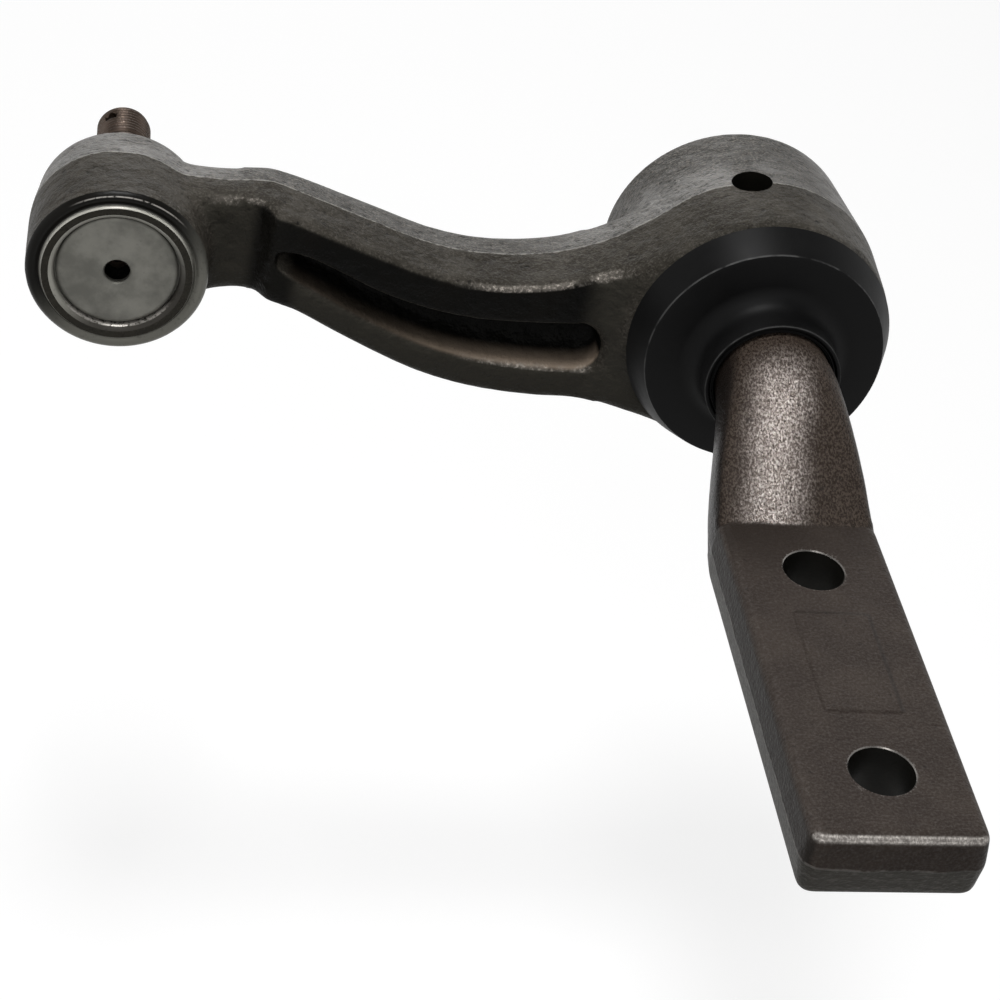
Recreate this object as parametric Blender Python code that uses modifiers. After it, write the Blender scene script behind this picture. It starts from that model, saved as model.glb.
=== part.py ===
"""Steering idler arm: a forged bracket whose spindle turns in the barrel of a forged arm,
with a ball joint at the arm's far end.

Origin: middle of the bracket pad's bolting face, midway between its two bolt holes.
+Z is that face's normal, and the pivot axis runs along Y, with the arm at its +Y end.
Stations along the pivot are measured rearwards (+Y) from the dust cap's front face.
"""

import math

import bmesh
import bpy

MM = 0.001

# Fits
SEAT_GAP = 0.3 * MM
RUNNING_GAP = 0.2 * MM
STEPS_SMALL = 24
STEPS_LARGE = 2 * STEPS_SMALL
STEPS_PIN = STEPS_SMALL // 2
CUT_OVER = 2.0 * MM
SMOOTH_ANGLE = math.radians(35)

# Whole assembly
ARM_LENGTH = 164.4 * MM
ARM_TILT = math.radians(3.8)
PIVOT_RISE = 9.7 * MM
PIVOT_SIDE = 1.0 * MM
PARTING = 28.3 * MM
DRAFT = math.radians(6.5)

# Bracket pad
PAD_HOLE_SPACING = 67.2 * MM
PAD_HOLE_R = 7.3 * MM
PAD_HOLES_TO_CAP = 107.0 * MM
PAD_HALF_WIDTH = 20.2 * MM
PAD_THICKNESS = 17.0 * MM
PAD_END_MARGIN = 20.7 * MM
PAD_BEND_MARGIN = 17.0 * MM
PAD_CORNER_R = 4.0 * MM
PAD_EDGE_R = 2.2 * MM

# Bracket shank and spindle
SHANK_R = 14.8 * MM
SHANK_SWELL = 0.3 * MM
SHANK_NECK = 0.7 * MM
SHANK_SHORT_OF_PAD = 0.25 * MM
SHANK_CLEAR_OF_COLLAR = 1.5 * MM
SHANK_OVERLAP = 6.0 * MM
SHANK_SECTIONS = 10
SHANK_SQUARENESS = 4.0
SHANK_EASE = 0.15
JOURNAL_R = 13.0 * MM
THREAD_END_R = 9.5 * MM
SPINDLE_CHAMFER = 1.0 * MM
COTTER_HOLE_R = 1.5 * MM

# Barrel of the arm
BARREL_R = 36.0 * MM
BARREL_FRONT_R = 34.8 * MM
BARREL_REAR_R = 33.9 * MM
BARREL_LENGTH = 51.3 * MM
BARREL_EDGE_R = 2.0 * MM
BARREL_BORE_R = 22.0 * MM
CROWN_HOLE_R = 5.3 * MM
CROWN_HOLE_LEAN = math.radians(11.0)
CROWN_HOLE_BEHIND = 1.1 * MM

# Dust cap and wiper
CAP_DEPTH = 8.4 * MM
CAP_FACE_R = 31.0 * MM
CAP_RIM_R = 34.5 * MM
CAP_EDGE = 0.5 * MM
CAP_WALL = 2.8 * MM
CAP_LEDGE = 6.0 * MM
COLLAR_R = 17.4 * MM
COLLAR_RISE = 11.0 * MM
COLLAR_FILLET = 5.0 * MM
COLLAR_LIP = 1.0 * MM
COLLAR_EDGE = 0.3 * MM
WIPER_HEIGHT = 4.0 * MM
WIPER_INSET = 0.4 * MM
WIPER_LIP = 0.7 * MM

# Bushings
FLANGE_THICKNESS = 3.0 * MM
FRONT_FLANGE_ROOM = 1.5 * MM
FRONT_BUSH_LENGTH = 15.0 * MM
REAR_BUSH_LENGTH = 8.0 * MM
REAR_FLANGE_R = 25.5 * MM

# Spindle retention, inside the barrel's rear counterbore
COUNTERBORE_R = 26.5 * MM
SPINDLE_TIP_PROUD = 0.6 * MM
PLUG_CLEARANCE = 1.8 * MM
WASHER_R = 22.0 * MM
WASHER_THICKNESS = 2.2 * MM
DISC_R = 17.0 * MM
DISC_THICKNESS = 1.3 * MM
DISC_CONE = 1.0 * MM
NUT_ACROSS_FLATS = 28.0 * MM
NUT_HEIGHT = 5.8 * MM
NUT_SLOT_WIDTH = 3.6 * MM
NUT_SLOT_DEPTH = 2.9 * MM
NUT_BEVEL = 0.25 * MM
COTTER_R = 1.1 * MM
COTTER_LEG = 6.0 * MM
COTTER_EYE_R = 2.6 * MM
PLUG_R = 29.0 * MM
PLUG_THICKNESS = 1.5 * MM
PLUG_DOME = 1.2 * MM
PLUG_INSET = 0.8 * MM

# Ball housing at the arm's end
HOUSING_R = 22.4 * MM
HOUSING_SHOULDER_R = 21.3 * MM
HOUSING_REAR_R = 20.6 * MM
HOUSING_LIP_R = 18.5 * MM
HOUSING_FRONT = 7.0 * MM
HOUSING_SHOULDER = 8.5 * MM
HOUSING_REAR = 43.0 * MM
HOUSING_REAR_EDGE = 1.5 * MM
HOUSING_MOUTH_FLARE = math.radians(30)
BALL_STATION = 29.0 * MM
SPHERE_R = 14.6 * MM
SEAT_WALL = 2.1 * MM
SEAT_MOUTH_R = 12.6 * MM

# Ball stud and the pieces that load it
STUD_HEAD_R = 12.0 * MM
STUD_SHANK_R = 8.6 * MM
STUD_SMALL_R = 7.35 * MM
STUD_THREAD_R = 7.14 * MM
STUD_UNDERCUT_R = 6.4 * MM
STUD_SHANK_END = 46.0 * MM
STUD_TAPER_LENGTH = 20.0 * MM
STUD_UNDERCUT_LENGTH = 1.6 * MM
STUD_THREAD_LENGTH = 14.1 * MM
STUD_CHAMFER = 1.2 * MM
STUD_HOLE_R = 1.9 * MM
STUD_HOLE_FROM_TIP = 4.6 * MM
STUD_HOLE_LEAN = math.radians(-35)
HALF_BALL_HEIGHT = 9.0 * MM
CUP_WALL = 2.0 * MM
CUP_RIM_BACKSET = 7.2 * MM
CUP_FLANGE_THICKNESS = 1.8 * MM
CUP_HOLE_ANGLE = -78
SPRING_WIRE_R = 1.1 * MM
SPRING_SMALL_R = 10.8 * MM
SPRING_TURNS = 2.6
SPRING_STEPS = 18
COVER_FACE_STATION = 8.4 * MM
COVER_FACE_R = 15.0 * MM
COVER_THICKNESS = 1.7 * MM
COVER_STEP = 1.2 * MM
COVER_EDGE = 0.35 * MM
COVER_HOLE_R = 3.2 * MM

# The arm's beam, in millimetres: distance from the pivot towards the ball, heights of the top
# and bottom edges, and how far the front and rear faces stand from the parting plane.
BEAM_FRONT = 14.0
BEAM_REAR = 11.7
BEAM = [
    (8.0, 32.0, -31.6, 18.9, 11.0),
    (16.0, 32.6, -32.6, 19.1, 11.0),
    (24.0, 26.6, -30.6, 19.1, 11.2),
    (31.0, 20.6, -29.2, 18.5, 11.3),
    (37.5, 15.9, -28.9, 15.9, 11.5),
    (44.0, 12.0, -29.2, BEAM_FRONT, BEAM_REAR),
    (52.0, 8.6, -29.8, BEAM_FRONT, BEAM_REAR),
    (63.0, 6.3, -29.7, BEAM_FRONT, BEAM_REAR),
    (74.0, 5.6, -28.6, BEAM_FRONT, BEAM_REAR),
    (86.0, 6.8, -25.8, BEAM_FRONT, 12.4),
    (98.0, 10.0, -21.2, BEAM_FRONT, 12.9),
    (110.0, 13.6, -15.9, BEAM_FRONT, 12.6),
    (119.0, 16.6, -11.7, BEAM_FRONT, 11.6),
    (127.0, 18.8, -9.5, BEAM_FRONT, 10.6),
    (130.5, 19.0, -9.5, 8.6, 10.1),
    (140.0, 18.0, -11.2, 8.1, 9.8),
    (147.0, 17.8, -14.6, 8.1, 10.1),
    (154.0, 17.6, -16.0, 8.1, 10.3),
]
BEAM_DRAWN_LENGTH = 164.4
BEAM_EDGE_R = 2.3
BEAM_SAMPLES = 2

# Pockets on the beam's two faces, in millimetres: distance from the pivot, middle, half height.
POCKET = [
    (45.5, -11.8, 7.0),
    (52.0, -12.4, 6.8),
    (62.0, -12.8, 6.3),
    (74.0, -12.5, 5.8),
    (86.0, -10.5, 5.2),
    (98.0, -6.8, 4.6),
    (108.0, -2.5, 4.4),
    (116.0, 1.1, 3.9),
]
POCKET_SAMPLES = 2
POCKET_DEPTH = 8.6
REAR_POCKET_DEPTH = 6.5
POCKET_FLARE = 0.65
POCKET_LEAN = 0.85
POCKET_FLOOR_R = 1.6
POCKET_OVER = 4.0
POCKET_RUN_OUT = 10.0
POCKET_RUN_OUT_RISE = 3.6
POCKET_RUN_OUT_NARROWS = 0.55
POCKET_LEAST_HALF = 1.5
POCKET_FULL_DEPTH_HALF = 3.5

REARWARD = (-math.pi / 2, 0, 0)
SIDEWAYS = (0, math.pi / 2, 0)


def new_collection(name):
    collection = bpy.data.collections.new(name)
    bpy.context.scene.collection.children.link(collection)
    return collection


for old in list(bpy.data.objects):
    bpy.data.objects.remove(old, do_unlink=True)
PARTS = new_collection("idler_arm")
CUTTERS = new_collection("cutters")


def material(name, colour, roughness, metallic):
    made = bpy.data.materials.new(name)
    made.use_nodes = True
    shader = made.node_tree.nodes["Principled BSDF"]
    shader.inputs["Base Color"].default_value = (*colour, 1.0)
    shader.inputs["Roughness"].default_value = roughness
    shader.inputs["Metallic"].default_value = metallic
    return made


FORGED_ARM = material("forged_arm", (0.075, 0.068, 0.060), 0.55, 0.7)
FORGED_BRACKET = material("forged_bracket", (0.075, 0.060, 0.053), 0.5, 0.7)
BLACK_POLYMER = material("black_polymer", (0.012, 0.012, 0.013), 0.38, 0.0)
BLACK_RUBBER = material("black_rubber", (0.010, 0.010, 0.010), 0.7, 0.0)
BEARING_POLYMER = material("bearing_polymer", (0.55, 0.50, 0.38), 0.5, 0.0)
TURNED_STEEL = material("turned_steel", (0.33, 0.32, 0.30), 0.35, 1.0)
STUD_STEEL = material("stud_steel", (0.10, 0.075, 0.055), 0.4, 0.9)
COVER_STEEL = material("cover_steel", (0.16, 0.16, 0.14), 0.45, 0.9)
SPRING_STEEL = material("spring_steel", (0.22, 0.22, 0.22), 0.4, 1.0)


def place(obj, look=None, parent=None, at=(0, 0, 0), turn=(0, 0, 0)):
    """Puts a piece in the assembly, under its parent, with its finish and smooth shading."""
    PARTS.objects.link(obj)
    obj.parent = parent
    obj.location = at
    obj.rotation_euler = turn
    obj.data.materials.append(look)
    if obj.type == "MESH":
        obj.data.shade_smooth()
        obj.data.set_sharp_from_angle(angle=SMOOTH_ANGLE)
    return obj


def helper(obj, parent=None, at=(0, 0, 0), turn=(0, 0, 0)):
    """Puts a shape that is only joined to a piece or cut from it beside the assembly."""
    CUTTERS.objects.link(obj)
    obj.parent = parent
    obj.location = at
    obj.rotation_euler = turn
    obj.hide_render = True
    obj.display_type = "WIRE"
    return obj


def boolean(target, other, operation):
    modifier = target.modifiers.new(f"{operation.lower()} {other.name}", "BOOLEAN")
    modifier.operation = operation
    modifier.object = other


def joined(target, other):
    boolean(target, other, "UNION")


def cut(target, other):
    boolean(target, other, "DIFFERENCE")


def turned(name, profile, steps, closed=False):
    """A profile of (radius, station) revolved about the local Z axis."""
    mesh = bpy.data.meshes.new(name)
    count = len(profile)
    edges = [(i, i + 1) for i in range(count - 1)]
    if closed:
        edges.append((count - 1, 0))
    mesh.from_pydata([(radius, 0, station) for radius, station in profile], edges, [])
    obj = bpy.data.objects.new(name, mesh)
    screw = obj.modifiers.new("revolve", "SCREW")
    screw.axis = "Z"
    screw.steps = screw.render_steps = steps
    screw.use_smooth_shade = True
    screw.use_merge_vertices = True
    screw.merge_threshold = 0.00001
    return obj


def arc(centre_r, centre_s, radius, start, end, count):
    """Points on an arc in the radius and station plane, with angles in degrees from +radius."""
    angles = [math.radians(start + (end - start) * i / count) for i in range(count + 1)]
    return [(centre_r + radius * math.cos(a), centre_s + radius * math.sin(a)) for a in angles]


def mesh_object(name, build):
    """An object whose mesh is filled by build(bm), with its faces turned outwards."""
    bm = bmesh.new()
    build(bm)
    bmesh.ops.recalc_face_normals(bm, faces=bm.faces)
    mesh = bpy.data.meshes.new(name)
    bm.to_mesh(mesh)
    bm.free()
    return bpy.data.objects.new(name, mesh)


def loft(name, rings):
    """A closed skin over rings with equal counts of points, capped at both ends."""

    def build(bm):
        made = [[bm.verts.new(point) for point in ring] for ring in rings]
        for first, second in zip(made, made[1:]):
            for i in range(len(first)):
                j = (i + 1) % len(first)
                bm.faces.new((first[i], first[j], second[j], second[i]))
        bm.faces.new(made[0])
        bm.faces.new(made[-1])

    return mesh_object(name, build)


def cylinder(name, radius, depth, steps):
    def build(bm):
        bmesh.ops.create_cone(
            bm, cap_ends=True, segments=steps, radius1=radius, radius2=radius, depth=depth
        )

    return mesh_object(name, build)


def block(name, size):
    def build(bm):
        bmesh.ops.create_cube(bm, size=1.0)
        bmesh.ops.scale(bm, vec=size, verts=bm.verts)

    return mesh_object(name, build)


def wire(name, points, radius, cyclic=False):
    """A round wire bent through the given points."""
    curve = bpy.data.curves.new(name, "CURVE")
    curve.dimensions = "3D"
    curve.bevel_depth = radius
    curve.bevel_resolution = 1
    curve.use_fill_caps = True
    spline = curve.splines.new("POLY")
    spline.points.add(len(points) - 1)
    spline.use_cyclic_u = cyclic
    for point, co in zip(spline.points, points):
        point.co = (*co, 1)
    return bpy.data.objects.new(name, curve)


def as_mesh(source):
    """The wire as a closed mesh object, with the wire's curve removed."""
    bpy.context.scene.collection.objects.link(source)
    bpy.context.view_layer.update()
    graph = bpy.context.evaluated_depsgraph_get()
    mesh = bpy.data.meshes.new_from_object(source.evaluated_get(graph))

    def build(bm):
        bm.from_mesh(mesh)
        bmesh.ops.remove_doubles(bm, verts=bm.verts, dist=0.000001)

    made = mesh_object(source.name, build)
    bpy.data.objects.remove(source)
    return made


def catmull_rom(before, first, second, after, t):
    """A point between first and second on the smooth curve through all four."""
    slope = second - before
    bend = 2 * before - 5 * first + 4 * second - after
    twist = 3 * first - before - 3 * second + after
    return 0.5 * (2 * first + slope * t + bend * t**2 + twist * t**3)


def smooth_rows(rows, samples):
    """The rows of a table with samples - 1 more between each two."""
    result = []
    for i in range(len(rows) - 1):
        near = (rows[max(i - 1, 0)], rows[i], rows[i + 1], rows[min(i + 2, len(rows) - 1)])
        for k in range(samples):
            result.append(tuple(catmull_rom(*column, k / samples) for column in zip(*near)))
    result.append(tuple(rows[-1]))
    return result


def stretched(rows):
    """The table fitted to the length between pivot and ball."""
    scale = ARM_LENGTH / MM / BEAM_DRAWN_LENGTH
    return [(row[0] * scale, *row[1:]) for row in rows]


def drafted_corner(edge, side, reach):
    """Heights and distances from the parting plane, from the drafted wall round to the face."""
    straight = reach - BEAM_EDGE_R
    level = edge - side * straight * math.tan(DRAFT)
    angles = [math.radians(30 * i) for i in range(4)]
    return [
        (level - side * BEAM_EDGE_R * (1 - math.cos(a)), straight + BEAM_EDGE_R * math.sin(a))
        for a in angles
    ]


def beam_ring(row):
    """The beam's section at one distance from the pivot, drafted both ways from the parting."""
    x, top, bottom, front, rear = row
    points = []
    for side, edge in ((1, top), (-1, bottom)):
        ahead = [(height, -away) for height, away in drafted_corner(edge, side, front)]
        half = ahead[::-1] + [(edge, 0)] + drafted_corner(edge, side, rear)
        points += half if side > 0 else half[::-1]
    return [(-x * MM, PARTING + away * MM, height * MM) for height, away in points]


def pocket_ring(row, face, depth, outward):
    """One slice across a pocket: steep above, leaning outwards below, rounded at its floor."""
    x, middle, half = row
    mouth = face + outward * POCKET_OVER
    floor = face - outward * depth
    corner = floor + outward * POCKET_FLOOR_R
    flare = half + POCKET_FLARE
    upper = [(flare, mouth), (half, corner), (max(half - POCKET_FLOOR_R, 0.3 * half), floor)]
    lean = POCKET_LEAN * half
    foot = half - lean * (1 - POCKET_FLOOR_R / depth)
    lower = [(foot - 0.3 * half, floor), (foot, corner), (half + lean * POCKET_OVER / depth, mouth)]
    points = upper + [(-height, away) for height, away in lower]
    return [(-x * MM, PARTING + away * MM, (middle + height) * MM) for height, away in points]


def pocket(name, face, depth, outward):
    """A trough along the beam with a round end near the pivot and a taper near the ball."""
    rows = smooth_rows(stretched(POCKET), POCKET_SAMPLES)
    first_x, first_middle, first_half = rows[0]
    last_x, last_middle, last_half = rows[-1]
    start = []
    for turn in (78, 60, 40, 20):
        along, across = math.sin(math.radians(turn)), math.cos(math.radians(turn))
        start.append((first_x - first_half * along, first_middle, first_half * across))
    end = []
    for t in (0.33, 0.66, 1.0):
        half = last_half * (1 - POCKET_RUN_OUT_NARROWS * t * t)
        end.append((last_x + POCKET_RUN_OUT * t, last_middle + POCKET_RUN_OUT_RISE * t, half))
    rings = []
    for x, middle, half in start + rows + end:
        row = (x, middle, max(half, POCKET_LEAST_HALF))
        share = min(1.0, half / POCKET_FULL_DEPTH_HALF)
        rings.append(pocket_ring(row, face, depth * share, outward))
    return loft(name, rings)


def barrel_stations():
    front = CAP_DEPTH + SEAT_GAP
    return front, front + BARREL_LENGTH


def barrel_shell():
    front, rear = barrel_stations()
    edge = BARREL_EDGE_R
    half_edge = edge / 2
    profile = [(0, rear), *arc(BARREL_REAR_R - edge, rear - edge, edge, 90, 0, 3)]
    profile += [
        (BARREL_R, PARTING),
        (BARREL_FRONT_R, front + half_edge),
        (BARREL_FRONT_R - half_edge, front),
        (0, front),
    ]
    return turned("arm_forging", profile, STEPS_LARGE)


def counterbore_depth():
    """Room behind the rear bushing for everything on the spindle's end, and for the plug."""
    plug = PLUG_INSET + PLUG_THICKNESS + PLUG_CLEARANCE
    nut = SPINDLE_TIP_PROUD + NUT_HEIGHT + SEAT_GAP
    washers = DISC_THICKNESS + DISC_CONE + SEAT_GAP + WASHER_THICKNESS + SEAT_GAP
    return plug + nut + washers + FLANGE_THICKNESS + SEAT_GAP


def barrel_bore():
    """Bushing bore, rear counterbore and the ledge under the rear plug."""
    front, rear = barrel_stations()
    ledge = rear - PLUG_INSET - PLUG_THICKNESS - SEAT_GAP
    shoulder = rear - counterbore_depth()
    profile = [
        (0, rear + CUT_OVER),
        (PLUG_R + SEAT_GAP, rear + CUT_OVER),
        (PLUG_R + SEAT_GAP, ledge),
        (COUNTERBORE_R, ledge),
        (COUNTERBORE_R, shoulder),
        (BARREL_BORE_R, shoulder),
        (BARREL_BORE_R, front - CUT_OVER),
        (0, front - CUT_OVER),
    ]
    return turned("barrel_bore", profile, STEPS_LARGE)


def crown_hole(parent):
    """Hole for the grease fitting, through the barrel's top into its bore."""
    hole = cylinder("crown_hole", CROWN_HOLE_R, BARREL_R, STEPS_SMALL)
    reach = BARREL_BORE_R - CUT_OVER + BARREL_R / 2
    across, up = math.sin(CROWN_HOLE_LEAN), math.cos(CROWN_HOLE_LEAN)
    at = (-reach * across, PARTING + CROWN_HOLE_BEHIND, reach * up)
    return helper(hole, parent, at, (0, -CROWN_HOLE_LEAN, 0))


def housing_shell():
    """Ball housing, with a machined shoulder round the lip that is rolled over the cover."""
    lip = HOUSING_LIP_R
    profile = [
        (0, HOUSING_REAR),
        (HOUSING_REAR_R - HOUSING_REAR_EDGE, HOUSING_REAR),
        (HOUSING_REAR_R, HOUSING_REAR - HOUSING_REAR_EDGE),
        (HOUSING_R, PARTING),
        (HOUSING_R, HOUSING_SHOULDER + 3.2 * MM),
        (HOUSING_R - 0.3 * MM, HOUSING_SHOULDER + 1.4 * MM),
        (HOUSING_SHOULDER_R, HOUSING_SHOULDER),
        (lip + 0.5 * MM, HOUSING_SHOULDER + 0.3 * MM),
        (lip, HOUSING_FRONT + 0.9 * MM),
        (lip - 0.4 * MM, HOUSING_FRONT + 0.3 * MM),
        (lip - 1.4 * MM, HOUSING_FRONT),
        (0, HOUSING_FRONT),
    ]
    return turned("ball_housing", profile, STEPS_LARGE)


def socket_radius():
    return SPHERE_R + SEAT_GAP + SEAT_WALL + SEAT_GAP


def sphere_point(radius, at_r):
    """Distance behind the ball's centre where a sphere is at_r from the axis."""
    return math.sqrt(radius**2 - at_r**2)


def housing_bore():
    """Opening under the rolled lip, bore, spherical socket and the stud's mouth."""
    socket = socket_radius()
    mouth_r = SEAT_MOUTH_R + SEAT_GAP
    mouth = BALL_STATION + sphere_point(socket, mouth_r)
    lowest = math.degrees(math.acos(mouth_r / socket))
    recess = COVER_FACE_STATION + COVER_STEP - SEAT_GAP
    rear = HOUSING_REAR + CUT_OVER
    flare = mouth_r + (rear - mouth) * math.tan(HOUSING_MOUTH_FLARE)
    profile = [(0, rear), (flare, rear), *arc(0, BALL_STATION, socket, lowest, 0, 6)]
    profile += [
        (socket, recess),
        (COVER_FACE_R + SEAT_GAP, recess),
        (COVER_FACE_R + SEAT_GAP, HOUSING_FRONT - CUT_OVER),
        (0, HOUSING_FRONT - CUT_OVER),
    ]
    return turned("housing_bore", profile, STEPS_LARGE)


def arm_forging(parent):
    """Barrel, I-section beam and ball housing, forged as one and then bored."""
    arm = place(barrel_shell(), FORGED_ARM, parent, turn=REARWARD)
    rows = smooth_rows(stretched(BEAM), BEAM_SAMPLES)
    ball_at = (-ARM_LENGTH, 0, 0)
    joined(arm, helper(loft("beam", [beam_ring(row) for row in rows]), parent))
    joined(arm, helper(housing_shell(), parent, ball_at, REARWARD))
    cut(arm, helper(pocket("front_pocket", -BEAM_FRONT, POCKET_DEPTH, -1), parent))
    cut(arm, helper(pocket("rear_pocket", BEAM_REAR, REAR_POCKET_DEPTH, 1), parent))
    cut(arm, helper(barrel_bore(), parent, turn=REARWARD))
    cut(arm, crown_hole(parent))
    cut(arm, helper(housing_bore(), parent, ball_at, REARWARD))


def pad_bend():
    """Distance along Y from the origin to the line where the pad bends into the shank."""
    return PAD_HOLE_SPACING / 2 + PAD_BEND_MARGIN


def pad_ring(inset, height):
    """The pad's outline, a rectangle with round far corners, drawn in by inset."""
    half = PAD_HALF_WIDTH - inset
    radius = PAD_CORNER_R - inset
    far = inset - PAD_HOLE_SPACING / 2 - PAD_END_MARGIN
    near = pad_bend() - RUNNING_GAP
    points = [(half, near, height), (-half, near, height)]
    for side, start in ((-1, 180), (1, 270)):
        corner = arc(side * (half - radius), far + radius, radius, start, start + 90, 5)
        points += [(x, y, height) for x, y in corner]
    return points


def pad():
    """A flat bar with its parting line at half its thickness and draft both ways from it."""
    half = PAD_THICKNESS / 2
    wall = half - PAD_EDGE_R
    level = wall * math.tan(DRAFT)
    corner = []
    for a in [math.radians(30 * i) for i in range(4)]:
        corner.append((level + PAD_EDGE_R * (1 - math.cos(a)), wall + PAD_EDGE_R * math.sin(a)))
    lower = [(inset, -half - away) for inset, away in corner[::-1]]
    upper = [(inset, -half + away) for inset, away in corner]
    rings = lower + [(0.0, -half)] + upper
    return loft("pad", [pad_ring(inset, height) for inset, height in rings])


def shank_ring(x, y, z, half_width, half_height, squareness):
    """A ring between a round and a square, as a superellipse."""
    power = 2.0 / (2.0 + SHANK_SQUARENESS * squareness)
    points = []
    for i in range(STEPS_SMALL):
        angle = 2 * math.pi * i / STEPS_SMALL
        c, s = math.cos(angle), math.sin(angle)
        across = half_width * math.copysign(abs(c) ** power, c)
        up = half_height * math.copysign(abs(s) ** power, s)
        points.append((x + across, y, z + up))
    return points


def shank():
    """The cranked neck between the round spindle and the flat pad."""
    neck_r = SHANK_R - SHANK_NECK
    round_r = SHANK_R + SHANK_SWELL
    half = PAD_THICKNESS / 2
    wide = PAD_HALF_WIDTH - SHANK_SHORT_OF_PAD
    start_y = PAD_HOLES_TO_CAP - COLLAR_RISE - SHANK_CLEAR_OF_COLLAR
    rings = []
    for station in (CUT_OVER, -COLLAR_RISE):
        y = PAD_HOLES_TO_CAP + station
        rings.append(shank_ring(PIVOT_SIDE, y, PIVOT_RISE, neck_r, neck_r, 0))
    for i in range(SHANK_SECTIONS + 1):
        t = i / SHANK_SECTIONS
        ease = t * t * (3 - 2 * t)
        drop = t * t * (1 + SHANK_EASE) / (t + SHANK_EASE)
        x = PIVOT_SIDE * (1 - ease)
        y = start_y + (pad_bend() - start_y) * t
        z = PIVOT_RISE - (half + PIVOT_RISE) * drop
        width = round_r + (wide - round_r) * ease**0.8
        rings.append(shank_ring(x, y, z, width, round_r + (half - round_r) * drop, t))
    inset = SHANK_SHORT_OF_PAD
    end = (0, pad_bend() - SHANK_OVERLAP, -half, wide - 2 * inset, half - inset, 1)
    return loft("shank", rings + [shank_ring(*end)])


def pivot_point(station=0.0):
    return (PIVOT_SIDE, PAD_HOLES_TO_CAP + station, PIVOT_RISE)


def rear_stack():
    """Stations where the rear bushing's flange, washer, disc spring and nut begin."""
    _, rear = barrel_stations()
    flange = rear - counterbore_depth() + SEAT_GAP
    washer = flange + FLANGE_THICKNESS + SEAT_GAP
    disc = washer + WASHER_THICKNESS + SEAT_GAP
    nut = disc + DISC_THICKNESS + DISC_CONE + SEAT_GAP
    return flange, washer, disc, nut


def cotter_point():
    nut = rear_stack()[3]
    return pivot_point(nut + NUT_HEIGHT - NUT_SLOT_DEPTH / 2)


def spindle():
    """Turned end of the bracket: the journal in the bushings and the threaded end."""
    _, washer, _, nut = rear_stack()
    shoulder = CAP_DEPTH - FLANGE_THICKNESS - SEAT_GAP
    tip = nut + NUT_HEIGHT + SPINDLE_TIP_PROUD
    front = -COLLAR_RISE - SHANK_NECK
    profile = [
        (0, tip),
        (THREAD_END_R - SPINDLE_CHAMFER, tip),
        (THREAD_END_R, tip - SPINDLE_CHAMFER),
        (THREAD_END_R, washer - SEAT_GAP),
        (JOURNAL_R, washer - SEAT_GAP),
        (JOURNAL_R, shoulder),
        (SHANK_R, shoulder),
        (SHANK_R, front),
        (SHANK_R - SHANK_NECK, front - SHANK_NECK),
        (0, front - SHANK_NECK),
    ]
    return turned("frame_bracket", profile, STEPS_LARGE)


def frame_bracket():
    """Spindle, shank and pad, forged as one, turned at one end and drilled at the other."""
    bracket = place(spindle(), FORGED_BRACKET, at=pivot_point(), turn=REARWARD)
    joined(bracket, helper(shank()))
    joined(bracket, helper(pad()))
    for side in (-1, 1):
        hole = cylinder("bolt_hole", PAD_HOLE_R, 3 * PAD_THICKNESS, STEPS_SMALL)
        cut(bracket, helper(hole, at=(0, side * PAD_HOLE_SPACING / 2, -PAD_THICKNESS / 2)))
    cross = cylinder("cotter_cross_hole", COTTER_HOLE_R, 3 * THREAD_END_R, STEPS_PIN)
    cut(bracket, helper(cross, at=cotter_point(), turn=SIDEWAYS))


def cap_ledge_radius():
    """Inside of the dust cap's rim, which also houses the front bushing's flange."""
    return CAP_RIM_R - CAP_LEDGE


def barrel_dust_cap(parent):
    """Moulded cap over the barrel's front, with a collar that holds the wiper."""
    pocket_r = COLLAR_R - COLLAR_LIP
    hole_r = SHANK_R + 2 * SEAT_GAP
    wiper_rear = WIPER_HEIGHT + SEAT_GAP - COLLAR_RISE
    ledge_r = cap_ledge_radius()
    profile = [(CAP_RIM_R, CAP_DEPTH), (CAP_FACE_R, CAP_EDGE), (CAP_FACE_R - CAP_EDGE, 0)]
    profile += arc(COLLAR_R + COLLAR_FILLET, -COLLAR_FILLET, COLLAR_FILLET, 90, 180, 4)
    profile += [
        (COLLAR_R, COLLAR_EDGE - COLLAR_RISE),
        (COLLAR_R - COLLAR_EDGE, -COLLAR_RISE),
        (pocket_r, -COLLAR_RISE),
        (pocket_r, wiper_rear),
        (hole_r, wiper_rear),
        (hole_r, CAP_WALL),
        (ledge_r, CAP_WALL),
        (ledge_r, CAP_DEPTH),
    ]
    cap = turned("barrel_dust_cap", profile, STEPS_LARGE, closed=True)
    place(cap, BLACK_POLYMER, parent, turn=REARWARD)


def shaft_wiper_ring(parent):
    """Rubber ring in the cap's collar, with a lip towards the shank."""
    outer = COLLAR_R - COLLAR_LIP - SEAT_GAP
    inner = SHANK_R + RUNNING_GAP
    front = WIPER_INSET - COLLAR_RISE
    rear = WIPER_HEIGHT - COLLAR_RISE
    profile = [
        (outer, rear),
        (outer, front),
        (inner + WIPER_LIP, front),
        (inner, front + WIPER_LIP),
        (inner, front + 2 * WIPER_LIP),
        (inner + WIPER_LIP, rear),
    ]
    ring = turned("shaft_wiper_ring", profile, STEPS_LARGE, closed=True)
    place(ring, BLACK_RUBBER, parent, turn=REARWARD)


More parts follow.
